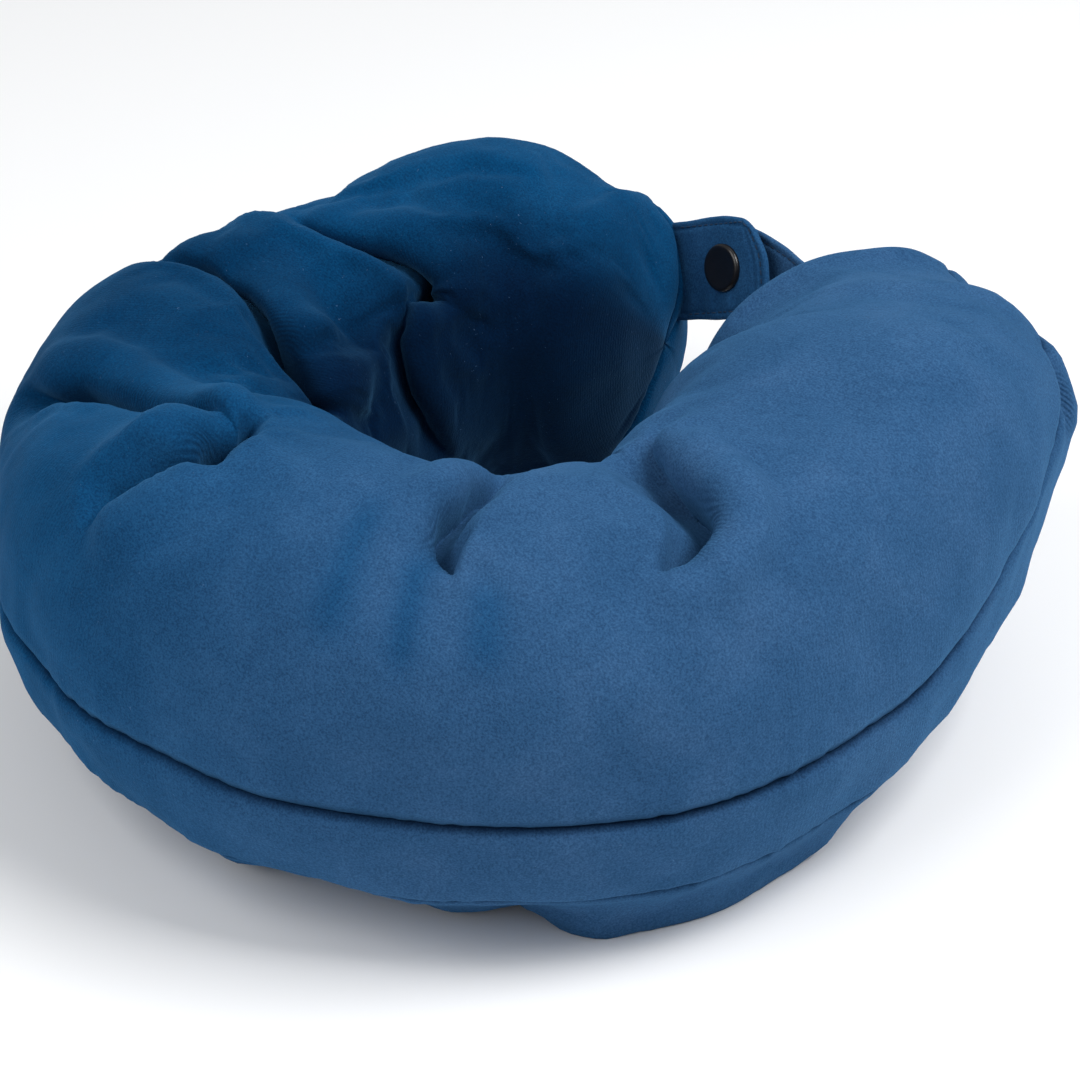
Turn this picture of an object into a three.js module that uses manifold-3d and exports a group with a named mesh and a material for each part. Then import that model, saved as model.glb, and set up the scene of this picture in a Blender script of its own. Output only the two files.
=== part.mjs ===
// U-shaped travel neck pillow with a removable velour cover, an inner cushion, a zip and a snap strap.
// Millimetres, +Z up.  The origin is on the floor under the middle of the pillow, the back of the
// U is towards +Y and the strap that closes its throat is towards -Y.
import * as THREE from 'three';
import Module from 'manifold-3d';
import { mergeVertices } from 'three/addons/utils/BufferGeometryUtils.js';

const wasm = await Module();
wasm.setup();

// ---- driving dimensions ---------------------------------------------------------------------
const ringCentre = new THREE.Vector2(2, -4.6);  // middle of the round back, seen from above
const ringRadius = 99;                     // centre line of the stuffed tube round the back
const farTip = new THREE.Vector2(53.5, -91.1); // end of the centre line in the arm on the +X side
const nearTip = new THREE.Vector2(-35.5, -119.1); // end of the centre line in the arm on the -X side
const noseLength = 22;                     // how far the rounded arm ends go past the centre line
const squareness = 0.85;                   // below 1 the tube's section is fuller than an ellipse

const clothThickness = 1.4;                // velour with its knitted backing
const caseThickness = 0.8;                 // the inner cushion's cotton case
const caseDepth = 4.4;                     // the loose cover stands this far off the inner case
const fillDepth = caseDepth + caseThickness + 2.6;
const seamGap = 0.3;                       // half the gap left between two panels at a seam

// The tube's section at places along the centre line, from the far tip (0) to the near tip (1):
// its reach towards the neck and outwards, the heights of its underside, widest point and top,
// and how far the top leans outwards.
const stations = [
  { at: 0.00, inner: 46, outer: 37, under: 6, middle: 57, top: 110, lean: -5 },
  { at: 0.06, inner: 47, outer: 42, under: 2, middle: 56, top: 116, lean: -4 },
  { at: 0.19, inner: 50, outer: 42, under: -3, middle: 56, top: 102, lean: 0 },
  { at: 0.33, inner: 50, outer: 53, under: -3, middle: 56, top: 102, lean: 0 },
  { at: 0.45, inner: 50, outer: 56, under: -3, middle: 56, top: 122, lean: 2 },
  { at: 0.66, inner: 50, outer: 53, under: -3, middle: 56, top: 117, lean: 2 },
  { at: 0.75, inner: 58, outer: 46, under: 0, middle: 58, top: 119, lean: 3 },
  { at: 0.85, inner: 72, outer: 42, under: 9, middle: 68, top: 127, lean: 6 },
  { at: 0.93, inner: 70, outer: 40, under: 16, middle: 70, top: 121, lean: 4 },
  { at: 1.00, inner: 58, outer: 35, under: 19, middle: 68, top: 113, lean: -3 },
];

// Seams, as angles round the section: 0 is outwards, 90 the top, 180 the neck side.
const outerSeam = -1;                      // between top panel and side band, along the back
const outerSeamAtTips = 42;                // it climbs over the arm ends
const bandAngle = 28;                      // the side band's width, below the outer seam
const innerSeam = 210;                     // between top panel and bottom panel, and the zip
const innerSeamAtTips = 232;               // lower, out of sight, in the two arms
const undercut = 9;                        // how far the underside is tucked in below the band

// ---- zip ------------------------------------------------------------------------------------
const zipStart = 22;                       // degrees round the ring, where the zip is open
const zipEnd = 150;                        // where it is closed and the slider rests
const zipOpening = 9.0;                    // half the height of the slot between the panels
const tapeThickness = 0.6;
const tapeMiddle = 1.0;                    // depth of the tapes' middle below the cover's face
const coilThickness = 2.4;
const channelHalf = 1.0;                   // the slider's post runs between the two coils
const coilEdge = 3.4;
const tapeEdge = 7.8;
const sliderLength = 11;
const stopLength = 2.4;

// ---- strap ----------------------------------------------------------------------------------
const snapPlace = new THREE.Vector3(22, -115.1, 82); // middle of the snap, between the two tabs
const strapHeading = 182;                  // degrees, the way the socket tab points
const strapRise = 25;                      // its slope upwards
const strapLean = -18;                     // its face is turned up by this
const studTabTurn = 30;                    // the stud tab's turn about the snap
const socketTabWidth = 32;
const studTabWidth = 28;
const tabThickness = 2.4;
const tabSpacing = 2.0;                    // each tab's inner face, from the snap's middle
const capRadius = 7.5;                     // a 15 mm press stud
const postRadius = 1.8;
const postHole = 2.2;

const velour = () => new THREE.MeshStandardMaterial({ color: 0x1d4a75, roughness: 0.95, metalness: 0 });
const cotton = () => new THREE.MeshStandardMaterial({ color: 0xd8d5cc, roughness: 0.9, metalness: 0 });
const fibre = () => new THREE.MeshStandardMaterial({ color: 0xf2f1ec, roughness: 1, metalness: 0 });
const webbing = () => new THREE.MeshStandardMaterial({ color: 0x16324f, roughness: 0.85, metalness: 0 });
const nylon = () => new THREE.MeshStandardMaterial({ color: 0x14283d, roughness: 0.45, metalness: 0 });
const blackMetal = () => new THREE.MeshStandardMaterial({ color: 0x101114, roughness: 0.25, metalness: 0.8 });
const brightMetal = () => new THREE.MeshStandardMaterial({ color: 0xb9bcc0, roughness: 0.3, metalness: 1 });
const satin = () => new THREE.MeshStandardMaterial({ color: 0xece9e2, roughness: 0.5, metalness: 0 });

const pillow = new THREE.Group();

function add(name, geometry, material, parent = pillow) {
  const mesh = new THREE.Mesh(geometry, material);
  mesh.name = name;
  parent.add(mesh);
  return mesh;
}

// ---- closed solids from grids of points -----------------------------------------------------

function closedGeometry(points, triangles) {
  const geometry = new THREE.BufferGeometry();
  geometry.setAttribute('position', new THREE.Float32BufferAttribute(points.flatMap((p) => p.toArray()), 3));
  geometry.setIndex(triangles.flat());
  return geometry;
}

// A bar through a row of rings, each the same closed outline.  The end rings are capped with
// the triangles that fill the flat outline.
function barThrough(rings, capTriangles) {
  const size = rings[0].length;
  const triangles = [];
  for (let row = 0; row < rings.length - 1; row += 1) {
    for (let i = 0; i < size; i += 1) {
      const a = row * size + i;
      const b = row * size + (i + 1) % size;
      triangles.push([a, b, b + size], [a, b + size, a + size]);
    }
  }
  const last = (rings.length - 1) * size;
  for (const [a, b, c] of capTriangles) {
    triangles.push([c, b, a], [a + last, b + last, c + last]);
  }
  return closedGeometry(rings.flat(), triangles);
}

// A sheet with thickness: every ring goes along the sheet's inner face and back along its outer.
function sheetThrough(rows) {
  const rings = rows.map(({ outside, inside }) => [...inside, ...[...outside].reverse()]);
  const count = rows[0].outside.length;
  const caps = [];
  for (let i = 0; i < count - 1; i += 1) {
    const j = 2 * count - 1 - i;
    caps.push([i, i + 1, j - 1], [i, j - 1, j]);
  }
  return barThrough(rings, caps);
}

// ---- the stuffed tube -----------------------------------------------------------------------

class BackArc extends THREE.Curve {
  getPoint(t, target = new THREE.Vector3()) {
    const angle = t * Math.PI;
    const x = ringCentre.x + ringRadius * Math.cos(angle);
    return target.set(x, ringCentre.y + ringRadius * Math.sin(angle), 0);
  }
}

const flat = (x, y) => new THREE.Vector3(x, y, 0);
const farRoot = flat(ringCentre.x + ringRadius, ringCentre.y);
const nearRoot = flat(ringCentre.x - ringRadius, ringCentre.y);

const centreLine = new THREE.CurvePath();
centreLine.add(new THREE.CubicBezierCurve3(
  flat(farTip.x, farTip.y),
  flat(farTip.x + 36, farTip.y + 11),
  flat(farRoot.x, farRoot.y - 44),
  farRoot,
));
centreLine.add(new BackArc());
centreLine.add(new THREE.CubicBezierCurve3(
  nearRoot,
  flat(nearRoot.x - 2, nearRoot.y - 54),
  flat(nearTip.x - 42, nearTip.y + 21),
  flat(nearTip.x, nearTip.y),
));

function sectionAt(place) {
  const next = Math.max(1, stations.findIndex((station) => station.at >= place));
  const low = stations[next - 1];
  const high = stations[next];
  const mix = THREE.MathUtils.smoothstep(place, low.at, high.at);
  const section = {};
  for (const key of ['inner', 'outer', 'under', 'middle', 'top', 'lean']) {
    section[key] = THREE.MathUtils.lerp(low[key], high[key], mix);
  }
  return section;
}

// Places along the tube.  `cap` is the angle round a rounded arm end: -90 at the far nose,
// 0 all along the centre line and 90 at the near nose.
function placesAlong(steps, capSteps, lastCap) {
  const places = [];
  for (let i = capSteps; i > 0; i -= 1) {
    places.push({ along: 0, cap: -lastCap * Math.sin((i / capSteps) * Math.PI / 2) });
  }
  for (let i = 0; i <= steps; i += 1) {
    places.push({ along: i / steps, cap: 0 });
  }
  for (let i = 1; i <= capSteps; i += 1) {
    places.push({ along: 1, cap: lastCap * Math.sin((i / capSteps) * Math.PI / 2) });
  }
  return places;
}

const power = (value) => Math.sign(value) * Math.abs(value) ** squareness;

// The point of the tube's surface at one place and one angle, `depth` below the cover's face.
function surfacePoint(place, angle, depth) {
  const section = sectionAt(place.along);
  const onLine = centreLine.getPointAt(place.along);
  const ahead = centreLine.getTangentAt(place.along);
  const outwards = new THREE.Vector3(ahead.y, -ahead.x, 0);
  const cap = THREE.MathUtils.degToRad(place.cap);
  const across = power(Math.cos(THREE.MathUtils.degToRad(angle)));
  const up = power(Math.sin(THREE.MathUtils.degToRad(angle)));
  const side = across > 0 ? section.outer : section.inner;
  const rise = up > 0 ? section.top - section.middle : section.middle - section.under;
  const shift = (across * (side - depth) + section.lean * up) * Math.cos(cap);
  const height = section.middle + up * (rise - depth) * Math.cos(cap);
  const tuck = tuckAt(place, angle) * Math.cos(cap);
  const point = onLine.clone();
  point.addScaledVector(ahead, (noseLength - depth) * Math.sin(cap));
  point.addScaledVector(outwards, shift - 0.6 * tuck);
  point.z = Math.max(height + 0.8 * tuck, depth);
  return point;
}

function panelRow(place, fromAngle, toAngle, columns, depth) {
  const row = [];
  for (let i = 0; i <= columns; i += 1) {
    row.push(surfacePoint(place, THREE.MathUtils.lerp(fromAngle, toAngle, i / columns), depth));
  }
  return row;
}

// A panel of cloth between two seams, each given as an angle for every place along the tube.
function panel(places, fromSeam, toSeam, columns, depth, thickness) {
  return sheetThrough(places.map((place) => ({
    outside: panelRow(place, fromSeam(place), toSeam(place), columns, depth),
    inside: panelRow(place, fromSeam(place), toSeam(place), columns, depth + thickness),
  })));
}

// ---- seams ----------------------------------------------------------------------------------

const alongPerDegree = (Math.PI / 180) * ringRadius / centreLine.getLength();
const farBend = centreLine.curves[0].getLength() / centreLine.getLength();
const zipStartAlong = farBend + zipStart * alongPerDegree;
const zipEndAlong = farBend + zipEnd * alongPerDegree;
const degreesPerMillimetre = 180 / Math.PI / 50; // the section's girth is close to a 50 mm circle's

function outerSeamAt(place) {
  const fromFar = 1 - THREE.MathUtils.smoothstep(place.along, 0, 0.16);
  const fromNear = THREE.MathUtils.smoothstep(place.along, 0.8, 0.97);
  return THREE.MathUtils.lerp(outerSeam, outerSeamAtTips, Math.max(fromFar, fromNear));
}

const lowerSeamAt = (place) => outerSeamAt(place) - bandAngle;

// How far the underside is tucked in between the band's lower edge and the lowest point.
function tuckAt(place, angle) {
  const lower = lowerSeamAt(place);
  const below = THREE.MathUtils.clamp((lower - angle) / (lower + 90), 0, 1);
  const alongArms = THREE.MathUtils.smoothstep(place.along, 0.02, 0.16)
    * (1 - THREE.MathUtils.smoothstep(place.along, 0.82, 0.95));
  return undercut * Math.sin(Math.PI * below) * alongArms;
}

function innerSeamAt(place) {
  const fromFar = 1 - THREE.MathUtils.smoothstep(place.along, 0.04, 0.18);
  const fromNear = THREE.MathUtils.smoothstep(place.along, 0.72, 0.86);
  return THREE.MathUtils.lerp(innerSeam, innerSeamAtTips, Math.max(fromFar, fromNear));
}

function innerGapAt(place) {
  const ramp = 0.008;
  const opened = THREE.MathUtils.smoothstep(place.along, zipStartAlong - ramp, zipStartAlong)
    * (1 - THREE.MathUtils.smoothstep(place.along, zipEndAlong, zipEndAlong + ramp));
  return THREE.MathUtils.lerp(seamGap, zipOpening, opened) * degreesPerMillimetre;
}

const seamAngle = seamGap * degreesPerMillimetre;

// ---- cover ----------------------------------------------------------------------------------

// Rings along the tube, with four extra ones where the zip's slot opens and closes.
function coverPlaces() {
  const places = placesAlong(38, 4, 86);
  for (const edge of [zipStartAlong - 0.008, zipStartAlong, zipEndAlong, zipEndAlong + 0.008]) {
    places.push({ along: edge, cap: 0 });
  }
  places.sort((a, b) => (a.cap - b.cap) || (a.along - b.along));
  return places.filter((place, i) => i === 0 || place.cap !== places[i - 1].cap
    || place.along - places[i - 1].along > 1e-3);
}

const coverRings = coverPlaces();

add('cover_top_panel', panel(
  coverRings,
  (place) => outerSeamAt(place) + seamAngle,
  (place) => innerSeamAt(place) - innerGapAt(place),
  12,
  0,
  clothThickness,
), velour());

add('cover_side_band', panel(
  coverRings,
  (place) => lowerSeamAt(place) + seamAngle,
  (place) => outerSeamAt(place) - seamAngle,
  3,
  0,
  clothThickness,
), velour());

add('cover_bottom_panel', panel(
  coverRings,
  (place) => innerSeamAt(place) - 360 + innerGapAt(place),
  (place) => lowerSeamAt(place) - seamAngle,
  7,
  0,
  clothThickness,
), velour());

// ---- inner cushion --------------------------------------------------------------------------

const innerRings = placesAlong(28, 3, 84);

add('inner_case_upper', panel(innerRings, () => 1, () => 179, 8, caseDepth, caseThickness), cotton());
add('inner_case_lower', panel(innerRings, () => -179, () => -1, 8, caseDepth, caseThickness), cotton());

function fillGeometry() {
  const sides = 16;
  const rings = placesAlong(28, 3, 84).map((place) => {
    const ring = [];
    for (let i = 0; i < sides; i += 1) {
      ring.push(surfacePoint(place, (-360 * i) / sides, fillDepth));
    }
    return ring;
  });
  const caps = [];
  for (let i = 1; i < sides - 1; i += 1) {
    caps.push([0, i, i + 1]);
  }
  return barThrough(rings, caps);
}

add('fibre_filling', fillGeometry(), fibre());

// ---- zip ------------------------------------------------------------------------------------

// The zip lies on a cone about the ring's upright axis.  A point of it is given by the angle
// round the ring, the depth below the cover's face and the distance up the wall from the seam.
const zipPlace = { along: (zipStartAlong + zipEndAlong) / 2, cap: 0 };

function wallPoint(angle) {
  const point = surfacePoint(zipPlace, angle, 0);
  return new THREE.Vector2(Math.hypot(point.x - ringCentre.x, point.y - ringCentre.y), point.z);
}

const seamOnWall = wallPoint(innerSeam);
const upWall = wallPoint(innerSeam - 5).sub(wallPoint(innerSeam + 5)).normalize();
const intoWall = new THREE.Vector2(upWall.y, -upWall.x);

function zipPoint(degrees, depth, height) {
  const radius = seamOnWall.x + depth * intoWall.x + height * upWall.x;
  const angle = THREE.MathUtils.degToRad(degrees);
  return new THREE.Vector3(
    ringCentre.x + radius * Math.cos(angle),
    ringCentre.y + radius * Math.sin(angle),
    seamOnWall.y + depth * intoWall.y + height * upWall.y,
  );
}

// A bar along the zip with a constant outline of [depth, height] corners.
function zipBar(fromDegrees, toDegrees, steps, outline) {
  const corners = outline.map(([depth, height]) => new THREE.Vector2(depth, height));
  if (THREE.ShapeUtils.isClockWise(corners)) {
    corners.reverse();
  }
  const rings = [];
  for (let i = 0; i <= steps; i += 1) {
    const degrees = THREE.MathUtils.lerp(toDegrees, fromDegrees, i / steps);
    rings.push(corners.map((corner) => zipPoint(degrees, corner.x, corner.y)));
  }
  return barThrough(rings, THREE.ShapeUtils.triangulateShape(corners, []));
}

const block = (depth, thickness, low, high) => [
  [depth, low],
  [depth + thickness, low],
  [depth + thickness, high],
  [depth, high],
];

const tapeDepth = tapeMiddle - tapeThickness / 2;
const coilDepth = tapeMiddle - coilThickness / 2;
const degreesAlongZip = (length) => THREE.MathUtils.radToDeg(length / seamOnWall.x);
const stopAngle = degreesAlongZip(stopLength);
const stopGap = degreesAlongZip(seamGap);
const coilStart = zipStart + stopAngle + 2 * stopGap;
const coilEnd = zipEnd - stopAngle - 2 * stopGap;

for (const [name, side] of [['upper', 1], ['lower', -1]]) {
  const tape = block(tapeDepth, tapeThickness, side * (coilEdge + 0.3), side * tapeEdge);
  add(`zip_tape_${name}`, zipBar(zipStart, zipEnd, 26, tape), webbing());
  const coil = block(coilDepth, coilThickness, side * channelHalf, side * coilEdge);
  add(`zip_coil_${name}`, zipBar(coilStart, coilEnd, 26, coil), nylon());
}

const stopOutline = block(coilDepth - 0.4, coilThickness + 0.8, -coilEdge, coilEdge);
add('zip_bottom_stop', zipBar(zipStart, zipStart + stopAngle, 1, stopOutline), brightMetal());
add('zip_top_stop', zipBar(zipEnd - stopAngle, zipEnd, 1, stopOutline), brightMetal());

// The slider is two plates joined by a post that runs between the coils.  Lips on both plates
// wrap the coils and leave a slot for each tape.
const sliderHalf = 5.0;
const lipInner = 4.0;
const lipGap = 0.7;
const postHalf = 0.6;
const plateThickness = 1.3;
const frontFace = coilDepth - 0.4 - plateThickness;
const backFace = coilDepth + coilThickness + 0.4 + plateThickness;

function sliderOutline() {
  const half = [
    [frontFace, sliderHalf],
    [tapeMiddle - lipGap, sliderHalf],
    [tapeMiddle - lipGap, lipInner],
    [frontFace + plateThickness, lipInner],
    [frontFace + plateThickness, postHalf],
    [backFace - plateThickness, postHalf],
    [backFace - plateThickness, lipInner],
    [tapeMiddle + lipGap, lipInner],
    [tapeMiddle + lipGap, sliderHalf],
    [backFace, sliderHalf],
  ];
  const mirrored = half.map(([depth, height]) => [depth, -height]).reverse();
  return [...half, ...mirrored];
}

// The bridge on the slider's front: an arch that the pull tab's eye bar turns under.
const bridgeRise = 3.4;
const bridgeThickness = 1.0;
const bridgeHalfLength = 3.2;
const bridgeHalfWidth = 1.0;

const sliderMiddle = coilEnd - degreesAlongZip(sliderLength / 2 + 1);

function asSolid(geometry) {
  const bare = geometry.clone();
  bare.deleteAttribute('normal');
  bare.deleteAttribute('uv');
  const merged = mergeVertices(bare, 1e-4);
  return new wasm.Manifold(new wasm.Mesh({
    numProp: 3,
    vertProperties: new Float32Array(merged.attributes.position.array),
    triVerts: new Uint32Array(merged.index.array),
  }));
}

function asGeometry(solid) {
  const mesh = solid.getMesh();
  const geometry = new THREE.BufferGeometry();
  geometry.setAttribute('position', new THREE.Float32BufferAttribute(mesh.vertProperties, 3));
  geometry.setIndex(Array.from(mesh.triVerts));
  return geometry;
}

// A local frame on the slider's front face: x along the zip, y up the wall, z out of the wall.
const sliderFrame = new THREE.Group();
sliderFrame.position.copy(zipPoint(sliderMiddle, frontFace, 0));
{
  const outOfWall = zipPoint(sliderMiddle, frontFace - 1, 0).sub(sliderFrame.position);
  const up = zipPoint(sliderMiddle, frontFace, 1).sub(sliderFrame.position);
  const along = new THREE.Vector3().crossVectors(up, outOfWall);
  sliderFrame.setRotationFromMatrix(new THREE.Matrix4().makeBasis(along, up, outOfWall));
}
sliderFrame.updateMatrix();
pillow.add(sliderFrame);

function bridgeGeometry() {
  const inner = bridgeHalfLength - bridgeThickness;
  const arch = new THREE.Shape();
  arch.moveTo(-bridgeHalfLength, -0.5);
  arch.lineTo(-inner, -0.5);
  arch.lineTo(-inner, bridgeRise - bridgeThickness);
  arch.lineTo(inner, bridgeRise - bridgeThickness);
  arch.lineTo(inner, -0.5);
  arch.lineTo(bridgeHalfLength, -0.5);
  arch.lineTo(bridgeHalfLength - 0.6, bridgeRise);
  arch.lineTo(-bridgeHalfLength + 0.6, bridgeRise);
  const geometry = new THREE.ExtrudeGeometry(arch, { depth: 2 * bridgeHalfWidth, bevelEnabled: false });
  geometry.translate(0, 0, -bridgeHalfWidth);
  geometry.rotateX(Math.PI / 2);
  return geometry;
}

function sliderGeometry() {
  const halfAngle = degreesAlongZip(sliderLength / 2);
  const body = zipBar(sliderMiddle - halfAngle, sliderMiddle + halfAngle, 4, sliderOutline());
  const bridge = bridgeGeometry().applyMatrix4(sliderFrame.matrix);
  return asGeometry(asSolid(body).add(asSolid(bridge)));
}

add('zip_slider', sliderGeometry(), nylon());

// The pull tab hangs on its eye bar under the bridge.  It leans a little out of the wall, so
// that its straight length clears the ring's curve.
const pullLength = 19;
const pullHalfWidth = 3.6;
const pullThickness = 1.2;
const pullLean = 16;

function pullTabGeometry() {
  const eyeBar = 0.6;
  const windowHalf = bridgeHalfWidth + 0.5;
  const tab = new THREE.Shape();
  tab.moveTo(eyeBar, -pullHalfWidth + 0.6);
  tab.lineTo(-pullLength + 3, -pullHalfWidth);
  tab.absarc(-pullLength + 3, 0, pullHalfWidth, -Math.PI / 2, Math.PI / 2, true);
  tab.lineTo(eyeBar, pullHalfWidth - 0.6);
  const window = new THREE.Path();
  window.moveTo(-eyeBar, -windowHalf);
  window.lineTo(-eyeBar, windowHalf);
  window.lineTo(-eyeBar - 3.4, windowHalf);
  window.lineTo(-eyeBar - 3.4, -windowHalf);
  tab.holes.push(window);
  const geometry = new THREE.ExtrudeGeometry(tab, {
    depth: pullThickness,
    bevelEnabled: false,
    curveSegments: 8,
  });
  geometry.translate(0, 0, -pullThickness / 2);
  return geometry;
}

const pullPivot = new THREE.Group();
pullPivot.position.set(0, 0, (bridgeRise - bridgeThickness) / 2);
pullPivot.rotation.y = THREE.MathUtils.degToRad(pullLean);
sliderFrame.add(pullPivot);
add('zip_pull_tab', pullTabGeometry(), nylon(), pullPivot);

// A blank care label caught in the inner seam, just past the zip's open end.
add('care_label', zipBar(5, 17, 3, block(-1.1, 0.7, -17, -0.6)), satin());

// ---- strap ----------------------------------------------------------------------------------

// In the strap's frame x runs along the socket tab towards its free end, y points away from
// the neck and z is up the strap's width.  The snap's axis is y.
const strap = new THREE.Group();
strap.position.copy(snapPlace);
strap.rotation.order = 'ZYX';
strap.rotation.set(
  THREE.MathUtils.degToRad(strapLean),
  THREE.MathUtils.degToRad(-strapRise),
  THREE.MathUtils.degToRad(strapHeading),
);
pillow.add(strap);

const studSide = new THREE.Group();
studSide.rotation.y = THREE.MathUtils.degToRad(studTabTurn);
strap.add(studSide);

// A flat tab from its sewn root to its free end, whose corners are rounded, with a post hole.
function tabGeometry(root, freeEnd, nearFace, width) {
  const half = width / 2;
  const corner = 5 * Math.sign(freeEnd);
  const outline = new THREE.Shape();
  outline.moveTo(root, -half);
  outline.lineTo(freeEnd - corner, -half);
  outline.quadraticCurveTo(freeEnd, -half, freeEnd, -half + Math.abs(corner));
  outline.lineTo(freeEnd, half - Math.abs(corner));
  outline.quadraticCurveTo(freeEnd, half, freeEnd - corner, half);
  outline.lineTo(root, half);
  const hole = new THREE.Path();
  hole.absarc(0, 0, postHole, 0, 2 * Math.PI);
  outline.holes.push(hole);
  const geometry = new THREE.ExtrudeGeometry(outline, {
    depth: tabThickness,
    bevelEnabled: false,
    curveSegments: 6,
  });
  geometry.rotateX(Math.PI / 2);
  geometry.translate(0, nearFace + tabThickness, 0);
  return geometry;
}

add('strap_socket_tab', tabGeometry(-18, 18, -tabSpacing - tabThickness, socketTabWidth), velour(), strap);
add('strap_stud_tab', tabGeometry(29.5, -9, tabSpacing, studTabWidth), velour(), studSide);

// A turned piece about the snap's axis, from [radius, y] corners.
function turned(corners) {
  const closed = [...corners, corners[0]].map(([radius, y]) => new THREE.Vector2(radius, y));
  return new THREE.LatheGeometry(closed, 28);
}

// A piece that touches the axis: its outline starts and ends there.
function turnedSolid(corners) {
  return new THREE.LatheGeometry(corners.map(([radius, y]) => new THREE.Vector2(radius, y)), 28);
}

const socketTabFace = -tabSpacing - tabThickness;
const studTabFace = tabSpacing + tabThickness;

add('snap_cap', turnedSolid([
  [0, socketTabFace - 2.0],
  [capRadius * 0.6, socketTabFace - 1.9],
  [capRadius * 0.9, socketTabFace - 1.5],
  [capRadius, socketTabFace - 0.9],
  [capRadius, socketTabFace - 0.3],
  [postRadius, socketTabFace - 0.3],
  [postRadius, -1.0],
  [0, -1.0],
]), blackMetal(), strap);

add('snap_socket', turned([
  [6, -tabSpacing + 0.3],
  [6, -0.9],
  [5, 0.6],
  [3.9, 0.6],
  [3.9, -0.7],
  [postHole, -0.7],
  [postHole, -tabSpacing + 0.3],
]), blackMetal(), strap);

add('snap_stud', turnedSolid([
  [0, -0.4],
  [2.8, -0.4],
  [3.4, 0.0],
  [3.1, 1.1],
  [6, 1.1],
  [6, tabSpacing - 0.3],
  [postHole, tabSpacing - 0.3],
  [postHole, 0.4],
  [0, 0.4],
]), blackMetal(), studSide);

add('snap_back_post', turnedSolid([
  [0, 0.8],
  [postRadius, 0.8],
  [postRadius, studTabFace + 0.3],
  [5.5, studTabFace + 0.3],
  [5.5, studTabFace + 0.9],
  [4.6, studTabFace + 1.4],
  [0, studTabFace + 1.5],
]), blackMetal(), studSide);

export default pillow;
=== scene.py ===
"""The looks of the U-shaped neck pillow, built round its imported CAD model.

Metres, +Z up.  The back of the U is towards +Y and the snap strap that closes its throat is
towards -Y.  Lengths are written in millimetres times MM and turned into metres at once.
"""

import math

import bmesh
import bpy
import numpy as np
from mathutils import Matrix, Vector


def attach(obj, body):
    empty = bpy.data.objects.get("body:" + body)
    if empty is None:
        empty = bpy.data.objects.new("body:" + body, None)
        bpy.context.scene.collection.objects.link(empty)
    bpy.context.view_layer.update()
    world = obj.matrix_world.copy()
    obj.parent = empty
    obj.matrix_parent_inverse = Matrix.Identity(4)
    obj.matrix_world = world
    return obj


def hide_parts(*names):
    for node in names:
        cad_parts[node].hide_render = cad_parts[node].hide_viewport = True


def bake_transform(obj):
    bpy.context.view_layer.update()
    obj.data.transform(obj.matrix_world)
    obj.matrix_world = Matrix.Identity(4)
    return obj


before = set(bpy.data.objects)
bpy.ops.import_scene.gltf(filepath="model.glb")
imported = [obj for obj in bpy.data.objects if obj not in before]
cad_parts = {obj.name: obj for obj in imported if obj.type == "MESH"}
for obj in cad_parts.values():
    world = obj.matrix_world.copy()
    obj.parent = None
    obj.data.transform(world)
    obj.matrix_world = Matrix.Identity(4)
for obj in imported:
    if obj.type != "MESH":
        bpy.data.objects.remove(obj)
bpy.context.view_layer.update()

MM = 0.001

# ---- The stuffed tube: the same surface as the CAD cover's --------------------------------------

RING_CENTRE = np.array([2.0, -4.6]) * MM
RING_RADIUS = 99 * MM
FAR_TIP = np.array([53.5, -91.1]) * MM
NEAR_TIP = np.array([-35.5, -119.1]) * MM
NOSE_LENGTH = 22 * MM
SQUARENESS = 0.85
NOSE_SHARE = 0.1          # places from -0.1 to 0 and from 1 to 1.1 go round the two arm ends

# Sections along the tube: place, reach towards the neck, reach outwards, heights of underside,
# widest point and top, and the top's lean outwards.
STATIONS = np.array([
    [0.00, 46, 37, 6, 57, 110, -5],
    [0.06, 47, 42, 2, 56, 116, -4],
    [0.19, 50, 42, -3, 56, 102, 0],
    [0.33, 50, 53, -3, 56, 102, 0],
    [0.45, 50, 56, -3, 56, 122, 2],
    [0.66, 50, 53, -3, 56, 117, 2],
    [0.75, 58, 46, 0, 58, 119, 3],
    [0.85, 72, 42, 9, 68, 127, 6],
    [0.93, 70, 40, 16, 70, 121, 4],
    [1.00, 58, 35, 19, 68, 113, -3],
])

OUTER_SEAM = -1
OUTER_SEAM_AT_TIPS = 42
BAND_ANGLE = 28
INNER_SEAM = 210
INNER_SEAM_AT_TIPS = 232
UNDERCUT = 9 * MM


def smoothstep(low, high, value):
    t = np.clip((value - low) / (high - low), 0, 1)
    return t * t * (3 - 2 * t)


def unit(vectors):
    return vectors / np.maximum(np.linalg.norm(vectors, axis=-1, keepdims=True), 1e-12)


def bezier(a, b, c, d, steps=400):
    t = np.linspace(0, 1, steps)[:, None]
    return (1 - t) ** 3 * a + 3 * (1 - t) ** 2 * t * b + 3 * (1 - t) * t * t * c + t ** 3 * d


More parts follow.
